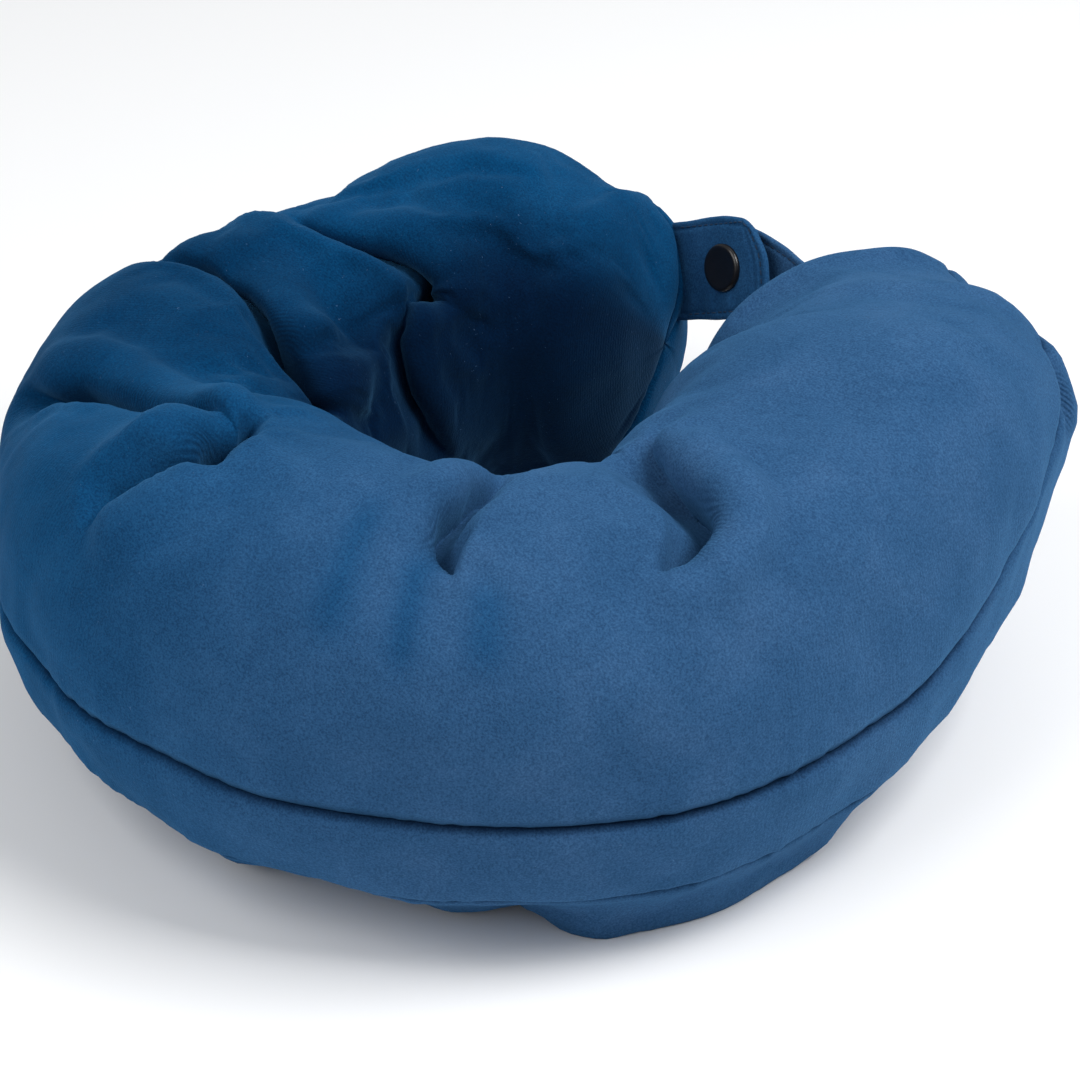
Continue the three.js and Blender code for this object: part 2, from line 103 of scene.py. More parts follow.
def centre_line():
    """Points along the tube's centre line and the share of its length at each."""
    far_root = RING_CENTRE + [RING_RADIUS, 0]
    near_root = RING_CENTRE - [RING_RADIUS, 0]
    turn = np.linspace(0, math.pi, 400)
    back = RING_CENTRE + RING_RADIUS * np.column_stack([np.cos(turn), np.sin(turn)])
    far_arm = bezier(FAR_TIP, FAR_TIP + np.array([36, 11]) * MM,
                     far_root - np.array([0, 44]) * MM, far_root)
    near_arm = bezier(near_root, near_root + np.array([-2, -54]) * MM,
                      NEAR_TIP + np.array([-42, 21]) * MM, NEAR_TIP)
    points = np.vstack([far_arm[:-1], back[:-1], near_arm])
    walked = np.r_[0, np.cumsum(np.linalg.norm(np.diff(points, axis=0), axis=1))]
    far_share = np.linalg.norm(np.diff(far_arm, axis=0), axis=1).sum() / walked[-1]
    return points, walked / walked[-1], walked[-1], far_share


LINE, LINE_SHARE, LINE_LENGTH, FAR_BEND = centre_line()


def outer_seam_at(place):
    from_far = 1 - smoothstep(0, 0.16, place)
    from_near = smoothstep(0.8, 0.97, place)
    return OUTER_SEAM + (OUTER_SEAM_AT_TIPS - OUTER_SEAM) * np.maximum(from_far, from_near)


def lower_seam_at(place):
    return outer_seam_at(place) - BAND_ANGLE


def inner_seam_at(place):
    in_arms = np.maximum(1 - smoothstep(0.04, 0.18, place), smoothstep(0.72, 0.86, place))
    return INNER_SEAM + (INNER_SEAM_AT_TIPS - INNER_SEAM) * in_arms


def tuck_at(along, degrees):
    """How far the underside is tucked in between the band's lower edge and the lowest point."""
    lower = lower_seam_at(along)
    below = np.clip((lower - degrees) / (lower + 90), 0, 1)
    in_back = smoothstep(0.02, 0.16, along) * (1 - smoothstep(0.82, 0.95, along))
    return UNDERCUT * np.sin(math.pi * below) * in_back


def cover_point(place, angle, depth=0.0):
    """The cover's face at places along the tube and angles in degrees round its section."""
    place, angle, depth = np.broadcast_arrays(place, angle, depth)
    shape = place.shape
    place, angle, depth = place.ravel(), np.radians(angle.ravel()), depth.ravel()
    along = np.clip(place, 0, 1)
    cap = (place - along) / NOSE_SHARE * math.pi / 2
    tuck = tuck_at(along, np.degrees(angle)) * np.cos(cap)
    step = 1e-3
    ahead, behind = np.clip(along + step, 0, 1), np.clip(along - step, 0, 1)
    at = [np.interp(along, LINE_SHARE, LINE[:, k]) for k in (0, 1)]
    tangent = unit(np.column_stack([
        np.interp(ahead, LINE_SHARE, LINE[:, k]) - np.interp(behind, LINE_SHARE, LINE[:, k])
        for k in (0, 1)]))
    station = np.clip(np.searchsorted(STATIONS[:, 0], along), 1, len(STATIONS) - 1)
    low, high = STATIONS[station - 1], STATIONS[station]
    mix = smoothstep(low[:, 0], high[:, 0], along)[:, None]
    inner, outer, under, middle, top, lean = ((low + (high - low) * mix)[:, 1:] * MM).T
    across, up = (np.sign(v) * np.abs(v) ** SQUARENESS for v in (np.cos(angle), np.sin(angle)))
    reach = np.where(across > 0, outer, inner) - depth
    rise = np.where(up > 0, top - middle, middle - under) - depth
    shift = (across * reach + lean * up) * np.cos(cap) - 0.6 * tuck
    onward = (NOSE_LENGTH - depth) * np.sin(cap)
    height = np.maximum(middle + up * rise * np.cos(cap) + 0.8 * tuck, depth)
    points = np.column_stack([
        at[0] + tangent[:, 0] * onward + tangent[:, 1] * shift,
        at[1] + tangent[:, 1] * onward - tangent[:, 0] * shift,
        height])
    return points.reshape(shape + (3,))


def cover_normal(place, angle):
    """The outward direction of the smooth cover."""
    short_of_tip = NOSE_SHARE * 0.98
    place = np.clip(place, -short_of_tip, 1 + short_of_tip)
    around = cover_point(place, angle + 0.6) - cover_point(place, angle - 0.6)
    along = cover_point(place + 1e-3, angle) - cover_point(place - 1e-3, angle)
    return unit(np.cross(along, around))


def with_noses(body, nose_rows, nose_reach=1.0):
    """Places along the tube, with more added round its two ends, as far as a share of the noses."""
    nose = NOSE_SHARE * nose_reach * np.linspace(0, 1, nose_rows + 1)[1:]
    return np.concatenate([-nose[::-1], body, 1 + nose])


# ---- Folds ---------------------------------------------------------------------------------------

# Each fold runs through (place, angle) points.  Its minus side is the one on the left when it is
# seen from outside and its line runs downwards.  `depth` is how far its floor sinks, `minus` and
# `plus` how far its two sides reach, `lips` how far they swell, and `over` how far the plus side
# hangs over the minus side, or the other way round where it is negative.  `ends` is the fold's
# strength at even steps along it.


def fold(path, depth, minus, plus, lips=(0, 0), over=0, ends=(0, 1, 0)):
    return {"path": path, "depth": depth * MM, "sides": (minus * MM, plus * MM),
            "lips": (lips[0] * MM, lips[1] * MM), "over": over * MM, "ends": ends}


def swell(path, height, minus, plus=None, ends=(0, 1, 0)):
    """A long soft rise, or a hollow where its height is negative."""
    return {"path": path, "height": height * MM, "sides": (minus * MM, (plus or minus) * MM),
            "ends": ends}


NEAR_FOLDS = [
    # the deep pocket on the left, whose left lip hangs over it
    fold([(0.455, 104), (0.448, 94), (0.451, 86), (0.458, 79), (0.464, 70)], 21, 9, 17, (4, 1.5), -8,
         (0, 1, 1, 0.9, 0)),
    # the valley that runs down from the pocket, close under the crest on its right
    fold([(0.470, 80), (0.468, 72), (0.463, 62), (0.456, 52), (0.446, 42)], 14, 18, 7,
         (1.5, 3), 7, (0, 0.9, 1, 1, 0)),
    # the ribbed fold in the middle of the front rim and the soft hollow under it
    fold([(0.610, 128), (0.594, 114), (0.584, 99), (0.578, 89), (0.579, 80),
          (0.586, 73), (0.594, 71)], 16, 7, 14, (2.5, 1.5), -5, (0, 0.7, 1, 1, 1, 0.8, 0)),
    swell([(0.562, 98), (0.568, 82), (0.582, 66), (0.586, 50)], -3, 6, 6, (0.3, 1, 1, 0)),
    # the pocket under the overlapping lip on the right
    fold([(0.712, 128), (0.707, 116), (0.706, 103), (0.705, 91), (0.700, 79), (0.688, 70),
          (0.675, 68), (0.665, 71)], 17, 22, 8, (1, 4.5), 6, (0, 0.7, 1, 1, 1, 1, 0.7, 0)),
    swell([(0.701, 82), (0.690, 65), (0.688, 52)], 1.2, 3, 5, (0, 1, 0)),
]

BACK_FOLDS = [
    # the edge of the left lobe, with a valley behind it
    fold([(0.318, 28), (0.330, 52), (0.338, 70), (0.368, 85), (0.412, 91), (0.448, 93)], 14,
         18, 9, (0, 4), 7, (0, 0.8, 1, 1, 0.9, 0)),
    # the second lobe's sharp edge, ending in a dark pocket above the neck hole
    fold([(0.232, 40), (0.228, 66), (0.228, 86), (0.236, 100), (0.254, 115), (0.266, 132),
          (0.282, 146), (0.302, 156)], 16, 16, 9, (0.5, 4.5), 8,
         (0, 0.5, 0.8, 1, 1, 1, 1, 0)),
    swell([(0.254, 118), (0.240, 124), (0.220, 136)], 3.5, 4, 5, (0, 1, 0)),
    swell([(0.222, 74), (0.218, 91), (0.214, 110), (0.220, 130), (0.234, 150)], -5, 8, 8,
          (0.4, 1, 1, 1, 0)),
    # the third ridge and the dark valley behind it, which hooks back at its end
    swell([(0.196, 45), (0.190, 70), (0.178, 98), (0.156, 120), (0.146, 134)], 5.5, 8, 7,
          (0, 0.8, 1, 1, 0.3)),
    fold([(0.176, 66), (0.168, 92), (0.150, 114), (0.137, 136), (0.144, 143)], 13, 12, 8,
         (1, 3.5), 6, (0, 0.7, 1, 1, 0)),
    fold([(0.132, 130), (0.140, 138), (0.152, 137), (0.168, 130)], 7, 6, 6, (1, 2), 2, (0, 1, 1, 0)),
    # creases down the far arm's neck side
    swell([(0.160, 136), (0.146, 159), (0.114, 178)], 2.4, 6, 4, (0.4, 1, 0)),
    fold([(0.160, 126), (0.176, 150), (0.173, 174), (0.150, 197)], 7, 12, 5, (0, 2.5), 3,
         (0, 1, 1, 0)),
    # the ridges that run forward along the far arm's crown
    swell([(0.176, 78), (0.139, 106), (0.080, 120), (0.014, 128), (-0.05, 100)], 3, 5, 13,
          (0.3, 1, 0.8, 0.6, 0)),
    swell([(0.150, 66), (0.110, 84), (0.060, 92), (0.01, 90)], 1.8, 4, 9, (0.2, 1, 0.7, 0)),
]

ARM_FOLDS = [
    swell([(0.800, 104), (0.788, 87), (0.780, 70)], -1.4, 7, 9, (0, 1, 0)),
    swell([(0.735, 96), (0.740, 76), (0.747, 58)], -1.2, 8, 8, (0, 1, 0)),
    fold([(0.926, 46), (0.918, 34), (0.906, 22), (0.896, 10)], 3.5, 8, 6, (0.5, 2.5), 1.5,
         (0, 1, 1, 0)),
]

UNDERSIDE_FOLDS = [
    # the loose underside bulges out at the floor below the band
    swell([(0.612, -66), (0.650, -63), (0.690, -62), (0.738, -58), (0.785, -52)], 18, 11, 15,
          (0, 0.95, 1, 0.85, 0)),
    swell([(0.462, -56), (0.498, -56), (0.534, -58)], 8, 8, 12, (0, 1, 0)),
    swell([(0.545, -62), (0.590, -62), (0.635, -65)], 8, 7, 12, (0, 1, 0.6)),
]

BULGES = [
    # (place, angle, radius, height): where the stuffing fills the cover out or leaves it slack
    (0.33, 100, 45, -4), (0.265, 60, 45, 7), (0.40, 62, 40, 3), (0.53, 95, 35, 3),
    (0.64, 92, 30, 3), (0.00, 72, 28, -5), (0.14, 78, 32, -3), (0.905, 14, 17, 5),
    (0.98, 72, 30, -7), (0.78, 138, 34, 4), (0.745, 140, 24, 4), (0.98, 126, 26, -4),
    (0.93, 140, 22, -3),
]

LINE_SAMPLES = 120


def smooth_line(points, count=LINE_SAMPLES):
    """A Catmull-Rom line through a few points."""
    points = np.array(points, float)
    points = np.vstack([2 * points[0] - points[1], points, 2 * points[-1] - points[-2]])
    at = np.linspace(0, len(points) - 3 - 1e-9, count)
    first = at.astype(int)
    t = (at - first)[:, None]
    a, b, c, d = (points[first + k] for k in range(4))
    return 0.5 * (2 * b + (c - a) * t + (2 * a - 5 * b + 4 * c - d) * t ** 2
                  + (3 * b - a - 3 * c + d) * t ** 3)


def beside(points, path, reach):
    """For the points near a fold's line: their indices, signed distance, place along and axis."""
    on_cover = smooth_line(path)
    line = cover_point(on_cover[:, 0], on_cover[:, 1])
    ahead = unit(np.gradient(line, axis=0))
    across = unit(np.cross(cover_normal(on_cover[:, 0], on_cover[:, 1]), ahead))
    low, high = line.min(axis=0) - reach, line.max(axis=0) + reach
    near = np.flatnonzero(np.all((points > low) & (points < high), axis=1))
    offsets = points[near, None, :] - line[None]
    nearest = (offsets ** 2).sum(axis=2).argmin(axis=1)
    offset = offsets[np.arange(len(near)), nearest]
    side = np.where((offset * across[nearest]).sum(axis=1) < 0, -1.0, 1.0)
    return near, side * np.linalg.norm(offset, axis=1), nearest / (len(line) - 1), across[nearest]


def strength_along(shape, share):
    """How strong a fold or swell is at shares of its length."""
    ends = np.array(shape["ends"], float)
    step = share * (len(ends) - 1)
    first = np.minimum(step.astype(int), len(ends) - 2)
    return ends[first] + (ends[first + 1] - ends[first]) * smoothstep(0, 1, step - first)


def apply_swell(points, rise, shape):
    reach = 2.5 * max(shape["sides"])
    near, away, share, _ = beside(points, shape["path"], reach)
    width = np.where(away < 0, *shape["sides"])
    rise[near] += shape["height"] * strength_along(shape, share) * np.exp(-(away / width) ** 2)


CREASE_ROUNDING = 0.7 * MM


def apply_fold(points, rise, shift, bend, shape):
    reach = 2.2 * max(shape["sides"])
    near, away, share, across = beside(points, shape["path"], reach)
    strength = strength_along(shape, share)
    width = np.where(away < 0, *shape["sides"])
    far = (np.hypot(away, CREASE_ROUNDING) - CREASE_ROUNDING) / width
    steep, hollow = np.clip(1 - far, 0, 1) ** 2, np.clip(1 - far ** 1.5, 0, 1) ** 2
    valley = -shape["depth"] * np.where(away * shape["over"] < 0, hollow, steep)
    lip = np.where(away < 0, *shape["lips"]) * far ** 2 * np.exp(1 - far ** 2)
    rise[near] += strength * (valley + lip)
    if shape["over"]:
        leading = math.copysign(1, shape["over"])
        lead_width = shape["sides"][1 if leading > 0 else 0]
        ahead = away * leading / lead_width
        hang = np.exp(-((ahead - 0.6) / 0.42) ** 2) - 0.45 * np.exp(-((ahead + 0.1) / 0.3) ** 2)
        shift[near] -= (shape["over"] * strength * hang)[:, None] * across
        crest = np.exp(-((ahead - 0.46) / 0.26) ** 2) * smoothstep(0.35, 0.6, share)
        bend[near] = np.maximum(bend[near], strength * crest)


def ripples(points, wavelength, height, seed, waves=14):
    """Smooth unevenness with no direction of its own."""
    random = np.random.default_rng(seed)
    directions = unit(random.normal(size=(waves, 3)))
    lengths = wavelength * random.uniform(0.7, 1.5, waves)
    phases = random.uniform(0, 2 * math.pi, waves)
    turns = 2 * math.pi * points @ (directions / lengths[:, None]).T + phases
    return height * np.sin(turns).sum(axis=1) / math.sqrt(waves / 2)


def modelled_cover(places, angles):
    """The cover as its folds are laid out: grids of points, smooth points, normals, rise, bend."""
    smooth = cover_point(places, angles).reshape(-1, 3)
    normals = cover_normal(places, angles).reshape(-1, 3)
    rise = ripples(smooth, 46 * MM, 0.5 * MM, 3) + ripples(smooth, 19 * MM, 0.14 * MM, 4)
    shift = np.zeros_like(smooth)
    bend = np.zeros(len(smooth))
    for place, angle, radius, height in BULGES:
        middle = cover_point(np.array([place]), np.array([angle]))[0]
        away = np.linalg.norm(smooth - middle, axis=1) / (radius * MM)
        rise += height * MM * np.exp(-away ** 2)
    for shape in NEAR_FOLDS + BACK_FOLDS + ARM_FOLDS + UNDERSIDE_FOLDS:
        if "height" in shape:
            apply_swell(smooth, rise, shape)
        else:
            apply_fold(smooth, rise, shift, bend, shape)
    points = smooth + normals * rise[:, None] + shift
    points[:, 2] = np.maximum(points[:, 2], 0)
    return [found.reshape(places.shape + found.shape[1:])
            for found in (points, smooth, normals, rise, bend)]


# ---- Cloth simulation ------------------------------------------------------------------------------

SIM_ROWS = 200
SIM_COLUMNS = 88
SIM_NOSE_ROWS = 6
SIM_FRAMES = 20
SIM_REACH = 3 * MM        # the cloth may not move further than this
EXTRA_CLOTH = 0.045       # the cover is cut this much bigger than what it is stuffed with
LOOSE_HOLD = 0.06
SEAM_HOLD = 0.9
CLOTH = {"quality": 6, "mass": 0.2, "tension_stiffness": 25, "compression_stiffness": 25,
         "shear_stiffness": 10, "bending_stiffness": 0.15, "use_pressure": True,
         "uniform_pressure_force": 4, "vertex_group_mass": "held", "pin_stiffness": 1,
         "shrink_min": -EXTRA_CLOTH}


def held_share(points, places, angles, rise):
    """How firmly the stuffing, the seams and the floor hold the cloth where it is."""
    share = np.full(places.shape, LOOSE_HOLD)
    cell = 360 / SIM_COLUMNS
    for seam in (outer_seam_at(places), lower_seam_at(places), inner_seam_at(places) - 360):
        away = np.abs((angles - seam + 180) % 360 - 180)
        share = np.maximum(share, SEAM_HOLD * np.exp(-(away / (1.1 * cell)) ** 2))
    share = np.maximum(share, smoothstep(3 * MM, 9 * MM, -rise))
    share = np.maximum(share, points[..., 2] < 0.6 * MM)
    return np.maximum(share, np.abs(places - 0.5) > 0.5 + 0.7 * NOSE_SHARE)


def slack_share(places, angles):
    """How loose the cloth is: tight on the band and the front, loose round the folds."""
    over_top = smoothstep(35, 95, angles)
    under = 1 - smoothstep(-60, -35, angles)
    in_back = 0.45 * (1 - smoothstep(0.30, 0.42, places)) * smoothstep(10, 60, angles)
    return 0.22 + 0.5 * np.maximum(over_top, under) + in_back * (1 - 0.5 * over_top)


def run_cloth(piece, weights):
    """Blows the sheet up against its held points and returns where its points come to rest."""
    held = piece.vertex_groups.new(name="held")
    for index, weight in enumerate(weights):
        held.add([index], float(weight), "REPLACE")
    cloth = piece.modifiers.new("cloth", "CLOTH")
    for setting, value in CLOTH.items():
        setattr(cloth.settings, setting, value)
    cloth.settings.effector_weights.gravity = 0
    cloth.collision_settings.use_collision = False
    cloth.point_cache.frame_start = 1
    cloth.point_cache.frame_end = SIM_FRAMES
    scene = bpy.context.scene
    for moment in range(1, SIM_FRAMES + 1):
        scene.frame_set(moment)
    settled = piece.evaluated_get(bpy.context.evaluated_depsgraph_get()).data
    found = np.empty(len(settled.vertices) * 3, np.float32)
    settled.vertices.foreach_get("co", found)
    bpy.data.objects.remove(piece)
    scene.frame_set(1)
    return found.reshape(-1, 3).astype(float)


def settle_cover():
    """How far each point of a coarse cover moves as a blown-up cloth, and the points' places."""
    along = with_noses(np.linspace(0, 1, SIM_ROWS), SIM_NOSE_ROWS, 0.96)
    places = along[:, None] + np.zeros(SIM_COLUMNS)
    angles = np.linspace(-180, 180, SIM_COLUMNS, endpoint=False) + 0 * places
    points, _, normals, rise, _ = modelled_cover(places, angles)
    faces = grid_faces(len(along), SIM_COLUMNS, closed=True)
    material = bpy.data.materials.new("cloth_in_the_making")
    piece = mesh_object("cloth_in_the_making", points, faces, material)
    weights = held_share(points, places, angles, rise).ravel()
    moved = run_cloth(piece, weights).reshape(points.shape) - points
    bpy.data.materials.remove(material)
    far = np.linalg.norm(moved, axis=-1, keepdims=True)
    moved *= SIM_REACH * np.tanh(far / SIM_REACH) / np.maximum(far, 1e-9)
    blown_out = np.mean((moved * normals).sum(axis=-1))
    moved -= blown_out * normals
    return along, moved * slack_share(places, angles)[..., None]


def settled_move(places, angles):
    """The simulated cloth's movement at any places and angles, read between its points."""
    along, moved = SETTLED
    row = np.interp(places, along, np.arange(len(along)))
    column = (angles + 180) % 360 / 360 * SIM_COLUMNS
    row_low = np.minimum(row.astype(int), len(along) - 2)
    column_low = column.astype(int) % SIM_COLUMNS
    column_high = (column_low + 1) % SIM_COLUMNS
    down, right = (row - row_low)[..., None], (column - column.astype(int))[..., None]
    near = moved[row_low, column_low] * (1 - right) + moved[row_low, column_high] * right
    away = moved[row_low + 1, column_low] * (1 - right) + moved[row_low + 1, column_high] * right
    return near * (1 - down) + away * down


def formed_cover(places, angles):
    """The modelled cover, moved as the simulated cloth moves, and how far it really rises."""
    points, smooth, normals, _, bend = modelled_cover(places, angles)
    if SETTLED:
        points += settled_move(places, angles)
        points[..., 2] = np.maximum(points[..., 2], 0)
    return points, smooth, normals, ((points - smooth) * normals).sum(axis=-1), bend


# ---- Grids and meshes ----------------------------------------------------------------------------

BODY_ROWS = 336
NOSE_ROWS = 26
# (place, width) of each stretch of the tube where deep folds run across it
FOLDED_PLACES = ((0.15, 0.03), (0.235, 0.03), (0.33, 0.02), (0.46, 0.02), (0.588, 0.018),
                 (0.70, 0.022))


def all_places():
    """Places of a grid's rows, closer together where the deep folds run across the tube."""
    even = np.linspace(0, 1, 2001)
    density = 1 + sum(1.6 * np.exp(-((even - middle) / width) ** 2)
                      for middle, width in FOLDED_PLACES)
    walked = np.r_[0, np.cumsum((density[1:] + density[:-1]) / 2)]
    body = np.interp(np.linspace(0, walked[-1], BODY_ROWS + 1), walked, even)
    return with_noses(body, NOSE_ROWS)


def mesh_object(name, points, faces, material, smooth=True):
    mesh = bpy.data.meshes.new(name)
    mesh.from_pydata([tuple(point) for point in np.reshape(points, (-1, 3))], [], faces)
    mesh.materials.append(material)
    mesh.polygons.foreach_set("use_smooth", [smooth] * len(mesh.polygons))
    mesh.update()
    piece = bpy.data.objects.new(name, mesh)
    bpy.context.scene.collection.objects.link(piece)
    return piece


def grid_faces(rows, columns, closed=False):
    faces = []
    last = columns if closed else columns - 1
    for row in range(rows - 1):
        for column in range(last):
            a = row * columns + column
            b = row * columns + (column + 1) % columns
            faces.append((a, a + columns, b + columns, b))
    return faces


def tube_faces(count, sides):
    """Faces of a closed tube through rings of points, with its two ends capped."""
    caps = [tuple(range(sides)), tuple(range((count - 1) * sides, count * sides))[::-1]]
    return grid_faces(count, sides, closed=True) + caps


def paint_mesh(mesh, shares, walked):
    """Gives each point its shares, for the material to read, and the cloth walked to it as a UV."""
    for name, values in shares.items():
        layer = mesh.attributes.new(name, "FLOAT", "POINT")
        layer.data.foreach_set("value", values.ravel().astype(np.float32))
    layer = mesh.uv_layers.new(name="cloth")
    corner = np.zeros(len(mesh.loops), np.int32)
    mesh.loops.foreach_get("vertex_index", corner)
    layer.data.foreach_set("uv", walked.reshape(-1, 2)[corner].astype(np.float32).ravel())


def add_thickness(piece, thickness, offset=-1):
    modifier = piece.modifiers.new("thickness", "SOLIDIFY")
    modifier.thickness = thickness
    modifier.offset = offset


def stand_in(piece, node, body):
    """Shows a piece in place of a CAD node, riding on a body."""
    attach(piece, body)
    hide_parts(node)


SEAM_GAP = 0.25 * MM
SEAM_DEPTH = 1.3 * MM
SEAM_WIDTH = 1.25 * MM
SEAM_SHADE = 0.8 * MM     # how far the shade in a seam reaches
SEAM_SWELL = 0.6 * MM
SEAM_SWELL_AT = 5 * MM    # from a seam to where the cloth beside it swells most
NARROW_PANEL = 12 * MM    # a panel narrower than this is sunk less at its seams
PUCKER_HEIGHT = 0.22 * MM
PUCKER_REACH = 4 * MM
TURNED_STEPS = 3
TURNED_DEPTH = 0.9 * MM   # each step of the strip that is turned in at a seam
VELOUR_THICKNESS = 1.1 * MM


def seam_relief(distance, along, seed):
    """How far cloth rises beside a seam: a sunk line with small puckers along it."""
    groove = -SEAM_DEPTH * np.exp(-(distance / SEAM_WIDTH) ** 2)
    random = np.random.default_rng(seed)
    wave = np.zeros_like(along)
    for length in random.uniform(3.2, 7.5, 7) * MM:
        wave += np.sin(2 * math.pi * along / length + random.uniform(0, 6.28)) / 3
    puckers = PUCKER_HEIGHT * wave * np.exp(-distance / PUCKER_REACH)
    swollen = SEAM_SWELL * (distance / SEAM_SWELL_AT) * np.exp(1 - distance / SEAM_SWELL_AT)
    return groove + puckers + swollen


# (place, width, lowest angle, highest angle): darker streaks on the near side, with less painted sheen
DARK_STREAKS = [(0.552, 0.007, 44, 84), (0.577, 0.006, 38, 74), (0.604, 0.008, 40, 66)]


def painted_sheen_share(place, angle):
    """How pale the nap is painted, standing in for its sheen: least in the far arm, fully in the near
    one.
    """
    pale = smoothstep(0.40, 0.61, place)
    for middle, width, low, high in DARK_STREAKS:
        reach = smoothstep(low - 8, low + 8, angle) * (1 - smoothstep(high - 8, high + 8, angle))
        pale = pale * (1 - 0.6 * reach * np.exp(-((place - middle) / width) ** 2))
    return pale


def painted_shade_share(place, angle):
    """Painted shade down the neck side of the far arm and the back, and on their lobes."""
    neck_side = smoothstep(88, 150, angle) * (1 - smoothstep(0.30, 0.46, place))
    lobes = 0.45 * smoothstep(0.17, 0.22, place) * (1 - smoothstep(0.30, 0.38, place))
    return np.maximum(neck_side, lobes)


def panel_grid(from_angles, to_angles, columns):
    """Points of one panel between its two seams, with a turned-in strip along each."""
    places = all_places()[:, None] + np.zeros(columns)
    share = np.linspace(0, 1, columns)
    angles = from_angles[:, None] * (1 - share) + to_angles[:, None] * share
    points, smooth, normals, _, bend = formed_cover(places, angles)
    steps = np.linalg.norm(np.diff(smooth, axis=1), axis=2)
    from_start = np.pad(np.cumsum(steps, axis=1), ((0, 0), (1, 0)))
    from_end = from_start[:, -1:] - from_start
    along = places * LINE_LENGTH
    relief = seam_relief(from_start, along, 11) + seam_relief(from_end, along, 12)
    narrow = np.minimum(1, from_start[:, -1:] / NARROW_PANEL)
    points = points + normals * (relief * narrow)[..., None]
    offset = np.arange(-TURNED_STEPS, columns + TURNED_STEPS)
    column = np.clip(offset, 0, columns - 1)
    sunk = TURNED_DEPTH * np.abs(offset - column)
    turned = points[:, column] - normals[:, column] * sunk[:, None]
    turned[..., 2] = np.maximum(turned[..., 2], 0)
    # How near a seam each point is, for the painted shade in its groove.
    seam = np.exp(-(np.minimum(from_start, from_end) / SEAM_SHADE) ** 2)
    shares = {"bend": bend, "seam": seam, "pale": painted_sheen_share(places, angles),
              "shady": painted_shade_share(places, angles)}
    shares = {name: values[:, column] for name, values in shares.items()}
    return turned, shares, np.stack([along, from_start], axis=-1)[:, column]


def cloth_panel(name, from_angles, to_angles, columns, material):
    grid, shares, walked = panel_grid(from_angles, to_angles, columns)
    piece = mesh_object(name, grid, grid_faces(*grid.shape[:2]), material)
    paint_mesh(piece.data, shares, walked)
    add_thickness(piece, VELOUR_THICKNESS)
    return piece


# ---- Materials -----------------------------------------------------------------------------------


class Shader:
    """Short calls that build one material's nodes."""

    def __init__(self, name, color, roughness, **sockets):
        self.material = bpy.data.materials.new(name)
        self.material.use_nodes = True
        self.tree = self.material.node_tree
        self.surface = self.tree.nodes["Principled BSDF"]
        self.surface.inputs["Base Color"].default_value = (*color, 1)
        self.surface.inputs["Roughness"].default_value = roughness
        for socket, value in sockets.items():
            self.surface.inputs[socket.replace("_", " ")].default_value = value
        self.place = self.add("ShaderNodeTexCoord").outputs["Object"]

    def add(self, kind, **settings):
        node = self.tree.nodes.new(kind)
        for key, value in settings.items():
            setattr(node, key, value)
        return node

    def link(self, output, node, socket):
        self.tree.links.new(output, node.inputs[socket])

    def noise(self, scale, detail=2.0, roughness=0.5, distortion=0.0):
        node = self.add("ShaderNodeTexNoise")
        self.link(self.place, node, "Vector")
        node.inputs["Scale"].default_value = scale
        node.inputs["Detail"].default_value = detail
        node.inputs["Roughness"].default_value = roughness
        node.inputs["Distortion"].default_value = distortion
        return node.outputs["Fac"]

    def feed(self, value, node, socket):
        """Sets a socket to a number or a colour, or links a node's output to it."""
        if isinstance(value, tuple):
            node.inputs[socket].default_value = (*value, 1)
        elif isinstance(value, (int, float)):
            node.inputs[socket].default_value = value
        else:
            self.link(value, node, socket)

    def ramp(self, value, stops):
        node = self.add("ShaderNodeValToRGB")
        self.link(value, node, "Fac")
        steps = node.color_ramp.elements
        steps[0].position, steps[1].position = stops[0][0], stops[-1][0]
        steps[0].color, steps[1].color = (*stops[0][1], 1), (*stops[-1][1], 1)
        for position, color in stops[1:-1]:
            steps.new(position).color = (*color, 1)
        return node.outputs["Color"]

    def math(self, operation, a, b):
        node = self.add("ShaderNodeMath", operation=operation)
        self.feed(a, node, 0)
        self.feed(b, node, 1)
        return node.outputs["Value"]

    def mix(self, factor, a, b, blend="MIX"):
        node = self.add("ShaderNodeMix", data_type="RGBA", blend_type=blend)
        for value, socket in ((factor, 0), (a, 6), (b, 7)):
            self.feed(value, node, socket)
        return node.outputs[2]

    def ribs(self, pitch):
        """Lines across the cloth, one for every pitch walked along it."""
        walked = self.add("ShaderNodeUVMap", uv_map="cloth").outputs["UV"]
        wave = self.add("ShaderNodeTexWave", wave_type="BANDS", bands_direction="X")
        self.link(walked, wave, "Vector")
        wave.inputs["Scale"].default_value = 2 * math.pi / 20 / pitch
        wave.inputs["Distortion"].default_value = 0.6
        wave.inputs["Detail Scale"].default_value = 0.4
        return wave.outputs["Fac"]

    def attribute(self, name):
        return self.add("ShaderNodeAttribute", attribute_name=name).outputs["Fac"]

    def color(self, output):
        self.link(output, self.surface, "Base Color")

    def bump(self, height, distance, strength=1.0):
        node = self.add("ShaderNodeBump")
        node.inputs["Distance"].default_value = distance
        node.inputs["Strength"].default_value = strength
        self.link(height, node, "Height")
        if self.surface.inputs["Normal"].links:
            self.link(self.surface.inputs["Normal"].links[0].from_socket, node, "Normal")
        self.link(node.outputs["Normal"], self.surface, "Normal")


RIB_PITCH = 0.9 * MM
WHITE = (1, 1, 1)


